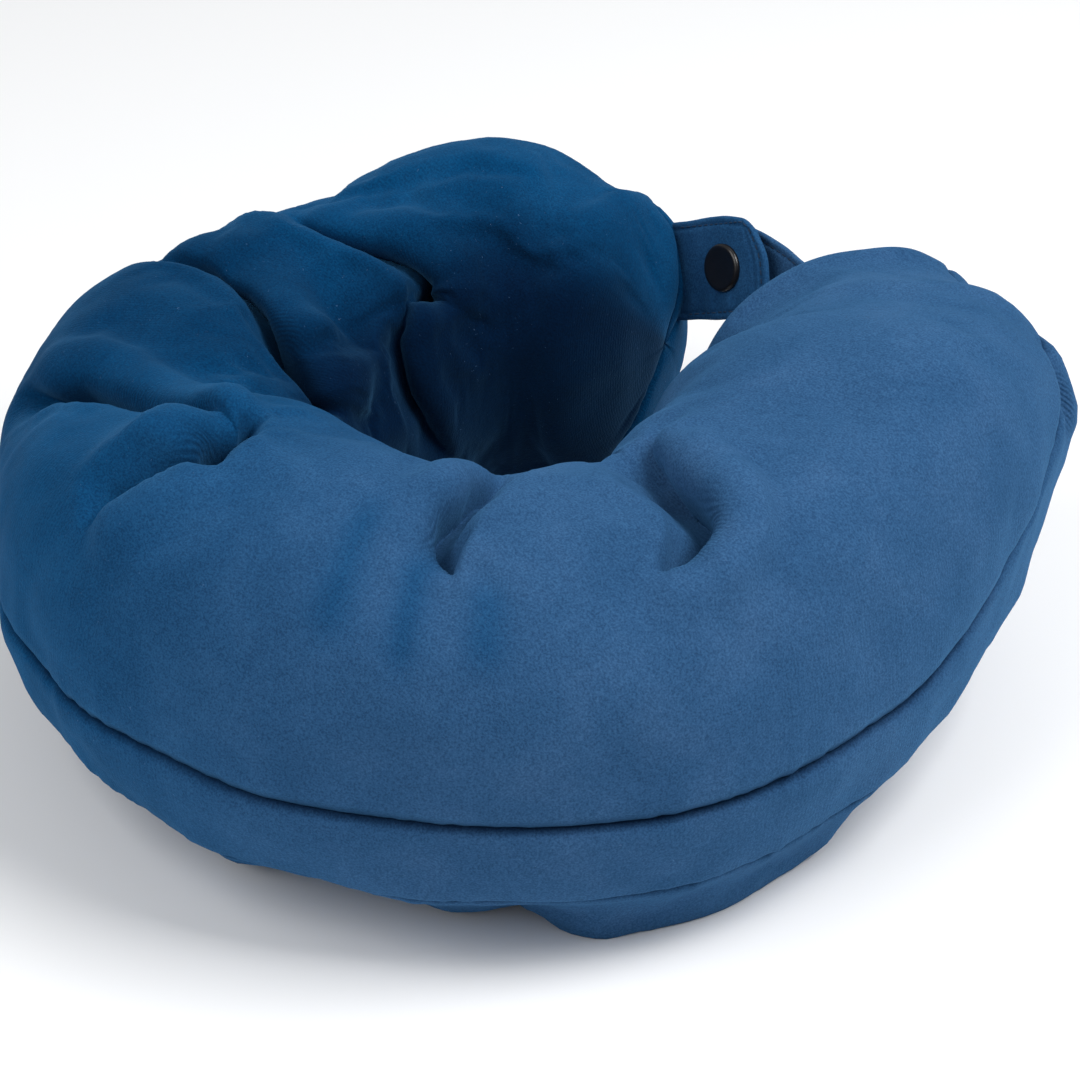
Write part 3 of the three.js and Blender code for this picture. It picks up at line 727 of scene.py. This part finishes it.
def velour_material():
    """Blue velour: a short dense nap on a ribbed knit, with painted sheen and painted shade in its
    colour.
    """
    shader = Shader("velour_blue", (0.01, 0.08, 0.20), 0.95, Sheen_Weight=0.17,
                    Sheen_Roughness=0.5, Specular_IOR_Level=0.05)
    shader.surface.inputs["Sheen Tint"].default_value = (0.15, 0.52, 1.0, 1)
    brushed = shader.noise(38, 4, 0.6, 0.4)
    # Two copies of the nap's colour: dark_nap as the far arm shows it, and a paler, greyer copy that
    # holds painted sheen; the pale share mixes them.
    dark_nap = shader.ramp(brushed, [(0.3, (0.0004, 0.038, 0.112)), (0.5, (0.001, 0.046, 0.132)),
                                     (0.7, (0.003, 0.056, 0.152))])
    painted_sheen_nap = shader.ramp(brushed, [(0.3, (0.021, 0.071, 0.165)), (0.5, (0.026, 0.081, 0.184)),
                                     (0.7, (0.033, 0.092, 0.202))])
    color = shader.mix(shader.attribute("pale"), dark_nap, painted_sheen_nap)
    # Painted shade down the far arm's neck side and on the back's lobes, from the shady share.
    shady = shader.ramp(shader.attribute("shady"), [(0.0, WHITE), (1.0, (0.10, 0.17, 0.23))])
    color = shader.mix(1.0, color, shady, "MULTIPLY")
    nap = shader.noise(1700, 2, 0.6)
    tufts = shader.noise(520, 3, 0.6)
    color = shader.mix(0.6, color, shader.ramp(nap, [
        (0.36, (0.55, 0.56, 0.6)), (0.5, WHITE), (0.66, (1.5, 1.42, 1.3))]), "MULTIPLY")
    color = shader.mix(0.16, color, shader.ramp(tufts, [
        (0.32, (0.6, 0.62, 0.66)), (0.5, WHITE), (0.7, (1.4, 1.36, 1.3))]), "MULTIPLY")
    ribs = shader.ribs(RIB_PITCH)
    # Painted shade: the grooves between ribs, where the pile parts over a fold's crest, are coloured
    # near black; the same mask also sinks them as a bump.
    parted_pile_and_shade = shader.math("MULTIPLY", shader.attribute("bend"), shader.math("MULTIPLY", ribs, 0.8))
    color = shader.mix(parted_pile_and_shade, color, (0.0005, 0.012, 0.04))
    lint = shader.noise(1400, 1, 0.5, 0.8)
    speck = shader.ramp(lint, [(0.76, (0, 0, 0)), (0.82, (0.6, 0.6, 0.6))])
    color = shader.mix(speck, color, (0.09, 0.17, 0.31))
    # Painted shade in the seams' sunk grooves.
    shade = shader.ramp(shader.attribute("seam"), [(0.0, WHITE), (1.0, (0.40, 0.44, 0.50))])
    color = shader.mix(1.0, color, shade, "MULTIPLY")
    shader.color(color)
    shader.bump(nap, 0.30 * MM, 0.6)
    shader.bump(tufts, 0.35 * MM, 0.4)
    shader.bump(ribs, 0.25 * MM, 0.12)
    shader.bump(parted_pile_and_shade, 0.7 * MM, -1)
    return shader.material


def plain_material(name, color, roughness, bump_scale, bump_height, **sockets):
    """A material whose colour and surface vary slightly over a fine grain."""
    shader = Shader(name, color, roughness, **sockets)
    grain = shader.noise(bump_scale, 3, 0.6)
    dark = [0.82 * part for part in color]
    light = [min(1, 1.12 * part) for part in color]
    shader.color(shader.ramp(grain, [(0.3, dark), (0.7, light)]))
    shader.bump(grain, bump_height)
    return shader.material


velour = velour_material()
thread = plain_material("thread_navy", (0.006, 0.030, 0.075), 0.7, 2600, 0.04 * MM)
lacquer = plain_material("lacquer_navy", (0.010, 0.028, 0.060), 0.28, 900, 0.01 * MM,
                         Coat_Weight=0.5, Coat_Roughness=0.12)
cotton = plain_material("cotton_cream", (0.72, 0.69, 0.62), 0.9, 900, 0.15 * MM)
fibre = plain_material("fibre_white", (0.85, 0.84, 0.80), 1.0, 140, 1.2 * MM)
tape_cloth = plain_material("tape_navy", (0.012, 0.035, 0.085), 0.8, 1500, 0.12 * MM)
nylon = plain_material("nylon_navy", (0.010, 0.025, 0.055), 0.4, 1200, 0.02 * MM)
bright_metal = plain_material("stop_metal", (0.60, 0.61, 0.63), 0.3, 700, 0.02 * MM, Metallic=1.0)
satin = plain_material("satin_white", (0.80, 0.79, 0.75), 0.45, 1400, 0.05 * MM)
black_metal = plain_material("snap_black", (0.007, 0.006, 0.006), 0.32, 500, 0.01 * MM,
                             Specular_IOR_Level=0.3, Coat_Weight=0.35, Coat_Roughness=0.12)


# ---- Cover ---------------------------------------------------------------------------------------

SETTLED = settle_cover()

USUAL_REACH = 50 * MM     # from the tube's centre line to its seams
DEGREES_PER_METRE = math.degrees(1 / USUAL_REACH)
seam_gap_angle = SEAM_GAP * DEGREES_PER_METRE
rows = all_places()

ZIP_START, ZIP_END = 22, 150
ZIP_SLOT = 5.8 * MM
ZIP_SLOT_EASE = 0.008     # places along the tube in which the slot opens
PLACE_PER_DEGREE = math.radians(1) * RING_RADIUS / LINE_LENGTH
zip_from, zip_to = (FAR_BEND + degrees * PLACE_PER_DEGREE for degrees in (ZIP_START, ZIP_END))
slot = (smoothstep(zip_from - ZIP_SLOT_EASE, zip_from, rows)
        * (1 - smoothstep(zip_to, zip_to + ZIP_SLOT_EASE, rows)))
inner_gap = (SEAM_GAP + (ZIP_SLOT - SEAM_GAP) * slot) * DEGREES_PER_METRE
outer_seam, lower_seam, inner_seam = outer_seam_at(rows), lower_seam_at(rows), inner_seam_at(rows)

for node, from_angles, to_angles, columns in (
        ("cover_top_panel", outer_seam + seam_gap_angle, inner_seam - inner_gap, 116),
        ("cover_side_band", lower_seam + seam_gap_angle, outer_seam - seam_gap_angle, 26),
        ("cover_bottom_panel", inner_seam - 360 + inner_gap, lower_seam - seam_gap_angle, 74)):
    panel = cloth_panel(node + "_velour", from_angles, to_angles, columns, velour)
    stand_in(panel, node, "pillow")

# ---- Inner cushion -------------------------------------------------------------------------------

CASE_DEPTH = 5.5 * MM
CASE_THICKNESS = 0.8 * MM
FILL_DEPTH = 8.6 * MM
PRESS_STEPS = 4           # how many steps of the grid a pressed-in fold spreads over
LINING_ROWS = 170
LINING_NOSE_ROWS = 10


def lowest_nearby(grid, steps):
    """Each value of a grid, lowered to the lowest within a few steps of it."""
    for _ in range(steps):
        padded = np.pad(grid, 1, mode="edge")
        high, wide = grid.shape
        grid = np.minimum.reduce([padded[i:i + high, j:j + wide]
                                  for i in range(3) for j in range(3)])
    return grid


def softened(grid, steps):
    """Each value of a grid, averaged with the four beside it a few times over."""
    for _ in range(steps):
        padded = np.pad(grid, 1, mode="edge")
        grid = (padded[1:-1, 1:-1] * 2 + padded[:-2, 1:-1] + padded[2:, 1:-1]
                + padded[1:-1, :-2] + padded[1:-1, 2:]) / 6
    return grid


def lining(name, from_angle, to_angle, columns, depth, material, closed=False):
    """A smooth layer under the cover that gives way wherever a fold presses in."""
    along = with_noses(np.linspace(0, 1, LINING_ROWS), LINING_NOSE_ROWS, 0.94)
    places = along[:, None] + np.zeros(columns)
    angles = np.linspace(from_angle, to_angle, columns, endpoint=not closed) + 0 * places
    _, _, normals, rise, _ = formed_cover(places, angles)
    pressed = softened(np.minimum(lowest_nearby(rise, PRESS_STEPS), 0), PRESS_STEPS)
    points = cover_point(places, angles, depth) + normals * pressed[..., None]
    points[..., 2] = np.maximum(points[..., 2], depth)
    make_faces = tube_faces if closed else grid_faces
    return mesh_object(name, points, make_faces(len(along), columns), material)


for half, from_angle in (("upper", 1), ("lower", -179)):
    case = lining("inner_case_" + half + "_cotton", from_angle, from_angle + 178, 60, CASE_DEPTH, cotton)
    add_thickness(case, CASE_THICKNESS)
    stand_in(case, "inner_case_" + half, "pillow")
filling = lining("fibre_filling_fluff", 0, 360, 72, FILL_DEPTH, fibre, closed=True)
stand_in(filling, "fibre_filling", "pillow")

# ---- Strap ---------------------------------------------------------------------------------------

SNAP_PLACE = Vector((22, -115.1, 82)) * MM
STRAP_HEADING, STRAP_RISE, STRAP_LEAN = (math.radians(a) for a in (182, 25, -18))
STUD_TAB_TURN = math.radians(30)
TAB_THICKNESS = 2.4 * MM
SNAP_EDGE = 0.1 * MM      # how far the snap's edges are rounded
STITCH_RADIUS = 0.24 * MM
STITCH_OUT = 0.05 * MM    # how far a stitch's middle stands above the cloth
TAB_OUT = 3.2 * MM        # from the snap's middle to the middle of each tab
TAB_CORNER = 6 * MM
TAB_EDGE = 1.1 * MM       # how wide its rounded edge is
STITCH_INSET = 2.4 * MM
STITCH_PITCH = 2.6 * MM
HEM_INSET = 5 * MM        # the fold of the hem shows as a line across the tab

strap_turn = (Matrix.Rotation(STRAP_HEADING, 4, "Z") @ Matrix.Rotation(-STRAP_RISE, 4, "Y")
              @ Matrix.Rotation(STRAP_LEAN, 4, "X"))
strap_frame = Matrix.Translation(SNAP_PLACE) @ strap_turn
stud_frame = strap_frame @ Matrix.Rotation(STUD_TAB_TURN, 4, "Y")

# The tabs lie along their frames' X, with the snap at the origin and its axis along Y.  `inward` is
# the way from a tab's free end to its root, and `side` the side of the snap that it lies on.
# `pale` is how pale its nap is painted, standing in for sheen, between the far arm's and the near
# arm's, and `slant` is how much shorter its free end is at the top than at the bottom.
SOCKET_TAB = {"root": -18 * MM, "end": 18 * MM, "width": 32 * MM, "in_arm": 9 * MM, "inward": -1,
              "slant": 5 * MM, "pale": 0.5, "side": -1, "frame": strap_frame, "body": "socket_strap"}
STUD_TAB = {"root": 29.5 * MM, "end": -9 * MM, "width": 28 * MM, "in_arm": 16 * MM, "inward": 1,
            "slant": 0, "pale": 1.0, "side": 1, "frame": stud_frame, "body": "stud_strap"}


def in_frame(points, matrix):
    turn = np.array(matrix)
    return points @ turn[:3, :3].T + turn[:3, 3]


def tab_length(tab):
    """From a tab's free end to where it stops, a little way inside the arm it is sewn to."""
    return abs(tab["end"] - tab["root"]) + tab["in_arm"]


def tab_half_width(tab, inside):
    """Half a tab's width at distances inside its free end, which has rounded corners."""
    corner = np.clip(TAB_CORNER - inside, 0, TAB_CORNER)
    pulled_in = 1.6 * MM * (1 - smoothstep(0, 17 * MM, inside))
    pulled_in += 0.6 * MM * smoothstep(22 * MM, 34 * MM, inside)
    return tab["width"] / 2 - pulled_in - TAB_CORNER + np.sqrt(TAB_CORNER ** 2 - corner ** 2)


def tab_swell(inside, half, across):
    """Half the thickness of a sewn and turned tab, with grooves where it is topstitched."""
    distance = np.minimum(half - np.abs(across), np.maximum(inside, 0))
    edge = np.sqrt(np.clip(1 - np.clip(1 - distance / TAB_EDGE, 0, 1) ** 2, 0, 1))
    groove = 0.42 * MM * np.exp(-((distance - STITCH_INSET) / (0.55 * MM)) ** 2)
    hem = 0.45 * MM * np.exp(-((inside - HEM_INSET) / (0.6 * MM)) ** 2)
    full = TAB_THICKNESS / 2 * (0.86 + 0.14 * smoothstep(0, 5 * MM, distance))
    return edge * (full - groove - hem)


def tab_bow(tab, inside, share):
    """How far a tab's middle layer bows out of its plane, at shares of its half width."""
    cupped = tab["side"] * 0.5 * MM * (1 - share ** 2) * smoothstep(0, 12 * MM, inside)
    low = smoothstep(0.35, 0.65, -share) * (1 - smoothstep(0.75, 1, -share))
    creases = 0.5 * MM * np.sin(inside / (1.3 * MM) + 2.5 * share) * low
    slack = 0.3 * MM * np.sin(inside / (3.4 * MM) + 1.2 * share) * smoothstep(0.3, 1, np.abs(share))
    return cupped + (creases + slack) * smoothstep(10 * MM, 20 * MM, inside)


def tab_points(tab, inside, across, raised):
    """Points raised off a tab's middle layer, at distances inside its free end and across it."""
    share = across / (tab["width"] / 2)
    cut = 1.4 * MM * share ** 2 + tab["slant"] * smoothstep(0, 1, share)
    along = tab["end"] + tab["inward"] * (inside + cut * np.exp(-inside / (14 * MM)))
    middle = tab["side"] * TAB_OUT + tab_bow(tab, inside, share)
    return in_frame(np.stack([along, middle + raised, across], axis=-1), tab["frame"])


def make_tab(name, tab):
    """A padded double layer of velour with a topstitched edge."""
    steps_along, steps_across = 84, 60
    inside = tab_length(tab) * np.linspace(0, 1, steps_along) ** 1.15
    share = np.sin(np.linspace(-1, 1, steps_across) * math.pi / 2)
    inside, share = np.meshgrid(inside, share, indexing="ij")
    half = tab_half_width(tab, inside)
    across = half * share
    swollen = tab_swell(inside, half, across)
    layers = [tab_points(tab, inside, across, side * swollen) for side in (-1, 1)]
    count = steps_along * steps_across
    faces = grid_faces(steps_along, steps_across)
    faces += [tuple(i + count for i in face[::-1]) for face in faces]
    last = (steps_along - 1) * steps_across
    faces += [(last + i, last + i + 1, last + i + 1 + count, last + i + count)
              for i in range(steps_across - 1)]
    piece = mesh_object(name, layers, faces, velour)
    weld(piece)
    spots = np.array([v.co[:2] for v in piece.data.vertices])
    # Painted sheen on the tab's nap, as much as its pale share gives.
    paint_mesh(piece.data, {"pale": np.full(len(spots), tab["pale"])}, spots)
    return piece


def weld(piece, distance=0.01 * MM):
    """Joins the points that coincide and turns all faces outwards."""
    mesh = bmesh.new()
    mesh.from_mesh(piece.data)
    bmesh.ops.remove_doubles(mesh, verts=mesh.verts, dist=distance)
    bmesh.ops.dissolve_degenerate(mesh, edges=mesh.edges, dist=distance / 10)
    bmesh.ops.recalc_face_normals(mesh, faces=mesh.faces)
    mesh.to_mesh(piece.data)
    mesh.free()


def stitch_line(tab):
    """Where each stitch of a tab's topstitching starts and ends: (inside, across) rows."""
    half = tab["width"] / 2 - STITCH_INSET
    radius = TAB_CORNER - STITCH_INSET
    length = abs(tab["end"] - tab["root"])
    turn = np.linspace(0, math.pi / 2, 12)
    corner = np.column_stack([TAB_CORNER - radius * np.sin(turn),
                              half - radius + radius * np.cos(turn)])
    path = np.vstack([[(length, half)], corner, corner[::-1] * (1, -1), [(length, -half)]])
    walked = np.r_[0, np.cumsum(np.linalg.norm(np.diff(path, axis=0), axis=1))]
    middles = np.arange(STITCH_PITCH / 2, walked[-1], STITCH_PITCH)
    reaches = (middles - STITCH_PITCH * 0.36, middles + STITCH_PITCH * 0.36)
    return [np.column_stack([np.interp(reach, walked, path[:, k]) for k in (0, 1)])
            for reach in reaches]


NO_STITCH_RUNS = (0.31, 0.57, 0.76)     # a direction that none of the stitches takes


def thread_mesh(name, starts, ends, radius, material):
    """Short round threads that dip into the cloth at both ends."""
    sides, rings = 8, 7
    turn = 2 * math.pi * np.arange(sides)[:, None] / sides
    share = np.linspace(0, 1, rings)[:, None, None]
    width = radius * np.sqrt(np.maximum(0.02, 1 - (2 * share - 1) ** 4))
    points, faces = [], []
    for start, end in zip(starts, ends):
        axis = unit(end - start)
        up = unit(np.cross(axis, NO_STITCH_RUNS))
        around = np.cos(turn) * up - np.sin(turn) * np.cross(axis, up)
        faces += [tuple(len(points) * sides * rings + i for i in face)
                  for face in tube_faces(rings, sides)]
        points.append(start + (end - start) * share + width * around)
    return mesh_object(name, points, faces, material)


def stitch_tab(name, tab):
    """The topstitching's threads on both faces of a tab."""
    starts, ends = [], []
    for face in (-1, 1):
        for found, line in zip((starts, ends), stitch_line(tab)):
            inside, across = line.T
            out = tab_swell(inside, tab_half_width(tab, inside), across) + STITCH_OUT
            found.extend(tab_points(tab, inside, across, face * out))
    return thread_mesh(name, starts, ends, STITCH_RADIUS, thread)


def turned_piece(name, corners, matrix, material):
    """A lathe-turned piece about the snap's axis, from (radius, place on the axis) corners."""
    segments = 64
    turns = np.linspace(0, 2 * math.pi, segments, endpoint=False)
    corners = np.array(corners) * MM
    rings = np.stack([np.stack([radius * np.cos(turns), np.full(segments, axis),
                                radius * np.sin(turns)], axis=-1) for radius, axis in corners])
    faces = grid_faces(len(corners), segments, closed=True)
    if corners[0][0] > 0:
        count = (len(corners) - 1) * segments
        faces += [(count + i, count + (i + 1) % segments, (i + 1) % segments, i)
                  for i in range(segments)]
    piece = mesh_object(name, in_frame(rings, matrix), faces, material)
    weld(piece)
    add_bevel(piece, SNAP_EDGE)
    return piece


def add_bevel(piece, width):
    bevel = piece.modifiers.new("rounded edges", "BEVEL")
    bevel.width = width
    bevel.segments = 3
    bevel.limit_method = "ANGLE"
    bevel.angle_limit = math.radians(35)


STUD_FACE = (TAB_OUT + TAB_THICKNESS / 2) / MM     # the tabs' outer faces, on the snap's axis
SOCKET_FACE = -STUD_FACE
CAP_DOME = [(0, -1.62), (2.6, -1.66), (4.6, -1.78), (5.8, -1.96), (6.4, -2.0), (6.95, -1.86),
            (7.32, -1.5), (7.5, -1.0), (7.46, -0.5), (7.2, -0.3), (1.8, -0.3)]

snap_pieces = {
    "snap_cap": ([(r, SOCKET_FACE + y) for r, y in CAP_DOME] + [(1.8, -1.0), (0, -1.0)],
                 strap_frame, "socket_strap"),
    "snap_socket": ([(6, -1.7), (6, -1.2), (5.7, -0.8), (5.2, 0.3), (4.8, 0.6), (4.0, 0.6),
                     (3.9, 0.2), (3.9, -0.7), (2.2, -0.7), (2.2, -1.7)],
                    strap_frame, "socket_strap"),
    "snap_stud": ([(0, -0.4), (2.4, -0.4), (2.8, -0.35), (3.3, -0.1), (3.4, 0.1), (3.3, 0.5),
                   (3.1, 1.1), (5.4, 1.1), (5.8, 1.2), (6, 1.4), (6, 1.7), (2.2, 1.7), (2.2, 0.4),
                   (0, 0.4)], stud_frame, "stud_strap"),
    "snap_back_post": ([(0, 0.8), (1.8, 0.8), (1.8, STUD_FACE + 0.3), (5.3, STUD_FACE + 0.3),
                        (5.5, STUD_FACE + 0.5), (5.5, STUD_FACE + 0.9), (5.1, STUD_FACE + 1.25),
                        (4.4, STUD_FACE + 1.4), (3.2, STUD_FACE + 1.45), (2.4, STUD_FACE + 1.25),
                        (0, STUD_FACE + 1.2)], stud_frame, "stud_strap"),
}
for node, (corners, matrix, body) in snap_pieces.items():
    stand_in(turned_piece(node + "_turned", corners, matrix, black_metal), node, body)

for node, tab in (("strap_socket_tab", SOCKET_TAB), ("strap_stud_tab", STUD_TAB)):
    cloth = make_tab(node + "_velour", tab)
    stitches = stitch_tab(node + "_stitches", tab)
    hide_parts(node)
    for piece in (cloth, stitches):
        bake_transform(piece)

# ---- Zip -----------------------------------------------------------------------------------------

# Millimetres into the wall and up it, from the seam that the zip closes.
TAPE_MIDDLE = 1.0
COIL_PITCH = 1.5
COIL_HALF_DEPTH = 0.82
COIL_MIDDLE = 2.15
COIL_HALF_HEIGHT = 1.1475
COIL_THREAD = 0.3         # radius
COIL_STEPS = 14           # points on each turn
COIL_INSET = 3.2          # from the ends of the tapes to the ends of the coils
zip_middle = np.array([(zip_from + zip_to) / 2])


def wall_point(angle):
    point = cover_point(zip_middle, np.array([float(angle)]))[0]
    return np.array([np.linalg.norm(point[:2] - RING_CENTRE), point[2]])


seam_on_wall = wall_point(INNER_SEAM)
up_wall = unit(wall_point(INNER_SEAM - 5) - wall_point(INNER_SEAM + 5))
into_wall = np.array([up_wall[1], -up_wall[0]])


def zip_point(degrees, depth, height):
    """A point of the zip: degrees round the ring, millimetres into the wall and up it."""
    degrees, depth, height = np.broadcast_arrays(degrees, depth, height)
    across = (depth[..., None] * into_wall + height[..., None] * up_wall) * MM
    radius, turn = seam_on_wall[0] + across[..., 0], np.radians(degrees)
    return np.stack([RING_CENTRE[0] + radius * np.cos(turn), RING_CENTRE[1] + radius * np.sin(turn),
                     seam_on_wall[1] + across[..., 1]], axis=-1)


def swept(name, rings, material):
    """A closed tube through rings of points."""
    piece = mesh_object(name, rings, tube_faces(*rings.shape[:2]), material)
    weld(piece, 0.001 * MM)
    return piece


def zip_coil(name, side, phase):
    """A nylon coil whose turns bite between those of the coil facing it."""
    degrees_per_mm = math.degrees(MM / seam_on_wall[0])
    start, end = ZIP_START + COIL_INSET * degrees_per_mm, ZIP_END - COIL_INSET * degrees_per_mm
    turns = (end - start) / degrees_per_mm / COIL_PITCH
    share = np.linspace(0, 1, int(turns * COIL_STEPS))
    angle = 2 * math.pi * (turns * share + phase)
    degrees = start + (end - start) * share
    line = zip_point(degrees, TAPE_MIDDLE + COIL_HALF_DEPTH * np.cos(angle),
                     side * (COIL_MIDDLE - COIL_HALF_HEIGHT * np.sin(angle)))
    ahead = unit(np.gradient(line, axis=0))
    out = unit(np.cross(ahead, zip_point(degrees + 1, 0, 0) - zip_point(degrees, 0, 0)))
    other = np.cross(ahead, out)
    turn = np.linspace(0, 2 * math.pi, 6, endpoint=False)[None, :, None]
    rings = line[:, None] + COIL_THREAD * MM * (np.cos(turn) * out[:, None]
                                                + np.sin(turn) * other[:, None])
    return swept(name, rings, nylon)


def zip_tape(name, side):
    """A woven tape with a thicker corded edge beside the coil."""
    degrees = np.linspace(ZIP_START, ZIP_END, 220)
    # heights from the seam that the zip closes, and half the tape's thickness at each
    heights = np.array([3.0, 3.3, 3.9, 4.6, 6.0, 7.4, 8.6])
    thick = np.array([0.12, 0.42, 0.34, 0.24, 0.24, 0.24, 0.20])
    ring_heights = np.concatenate([heights[::-1], heights]) * side
    depths = TAPE_MIDDLE + np.concatenate([thick[::-1], -thick])
    wave = 0.06 * np.sin(degrees * 9)[:, None]
    return swept(name, zip_point(degrees[:, None], depths + wave, ring_heights), tape_cloth)


for half, side, phase in (("upper", 1, 0.0), ("lower", -1, 0.5)):
    coil = zip_coil("zip_coil_" + half + "_turns", side, phase)
    tape = zip_tape("zip_tape_" + half + "_woven", side)
    stand_in(coil, "zip_coil_" + half, "pillow")
    stand_in(tape, "zip_tape_" + half, "pillow")

# ---- Care label ----------------------------------------------------------------------------------

LABEL_START, LABEL_END = 5, 17
LABEL_LENGTH = 17
LABEL_OUT = 0.75          # how far in front of the zip's wall its fold hangs
RIBBON_THICKNESS = 0.16 * MM


def there_and_back(there, back):
    return np.concatenate([there, back[::-1][1:]])


def make_label():
    """A blank satin ribbon folded in two, with both its ends caught in the seam."""
    columns = 40
    degrees = np.linspace(LABEL_START, LABEL_END, columns)
    down = np.linspace(0, 1, 36)
    curl = LABEL_OUT + 1.1 * down ** 2
    gap = 0.35 * np.sqrt(np.clip(1 - down ** 6, 0, 1))
    height = -0.3 - (LABEL_LENGTH - 0.7) * down
    depth = there_and_back(-curl - gap, -curl + gap)
    wave = 0.25 * np.sin(np.linspace(0, 2 * math.pi, columns)) * there_and_back(down, down)[:, None]
    grid = zip_point(degrees, depth[:, None] + wave, there_and_back(height, height)[:, None])
    piece = mesh_object("care_label_ribbon", grid, grid_faces(len(depth), columns), satin)
    add_thickness(piece, RIBBON_THICKNESS, 0)
    return piece


label = make_label()
stand_in(label, "care_label", "pillow")

# ---- Carried-over CAD pieces -----------------------------------------------------------------------

for node, material, edge in (("zip_slider", lacquer, 0.35), ("zip_pull_tab", lacquer, 0.4),
                             ("zip_bottom_stop", bright_metal, 0.3),
                             ("zip_top_stop", bright_metal, 0.3)):
    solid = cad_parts[node]
    solid.data.materials.clear()
    solid.data.materials.append(material)
    add_bevel(solid, edge * MM)

# ---- Stage ---------------------------------------------------------------------------------------

# The camera was solved on the pillow's outline in the photo.
LOOK_AT = Vector((-0.0161, 0.0053, 0.055))
VIEW_AZIMUTH, VIEW_ELEVATION = 226, 34
VIEW_DISTANCE = 1.0
LENS = 116
SENSOR = 36
FLOOR_REACH = 6.0

# (name, azimuth, elevation, distance, size, watts)
LIGHTS = [("key", 300, 56, 1.2, 0.6, 12.5), ("fill", 165, 46, 1.6, 1.2, 12.5),
          ("rim", 20, 60, 1.4, 0.8, 1.5)]


def direction(azimuth, elevation):
    """The way from the pillow to something at an azimuth and elevation in degrees."""
    azimuth, elevation = math.radians(azimuth), math.radians(elevation)
    return Vector((math.sin(azimuth) * math.cos(elevation),
                   -math.cos(azimuth) * math.cos(elevation), math.sin(elevation)))


def aim(thing, back, distance):
    """Puts a camera or lamp into the scene, looking at the pillow from a direction."""
    thing.location = LOOK_AT + back * distance
    thing.rotation_mode = "QUATERNION"
    thing.rotation_quaternion = (-back).to_track_quat("-Z", "Y")
    bpy.context.scene.collection.objects.link(thing)


def make_camera():
    camera = bpy.data.objects.new("camera", bpy.data.cameras.new("camera"))
    camera.data.lens = LENS
    camera.data.sensor_width = SENSOR
    aim(camera, direction(VIEW_AZIMUTH, VIEW_ELEVATION), VIEW_DISTANCE)
    bpy.context.scene.camera = camera


def area_light(name, azimuth, elevation, distance, size, power):
    """A soft square light that faces the pillow from a direction."""
    light = bpy.data.lights.new(name, "AREA")
    light.shape = "SQUARE"
    light.size = size
    light.energy = power
    aim(bpy.data.objects.new(name, light), direction(azimuth, elevation), distance)


def make_floor():
    shader = Shader("floor_pale", (0.93, 0.93, 0.93), 0.9)
    corners = [(x * FLOOR_REACH, y * FLOOR_REACH, 0) for x, y in ((-1, -1), (1, -1), (1, 1), (-1, 1))]
    mesh_object("studio_floor", corners, [(0, 1, 2, 3)], shader.material, smooth=False)


def make_world():
    world = bpy.data.worlds.new("studio")
    world.use_nodes = True
    background = world.node_tree.nodes["Background"]
    background.inputs["Color"].default_value = (0.93, 0.96, 1.0, 1)
    background.inputs["Strength"].default_value = 0.33
    bpy.context.scene.world = world


make_camera()
make_floor()
make_world()
for light in LIGHTS:
    area_light(*light)
bpy.context.scene.view_settings.view_transform = "Standard"
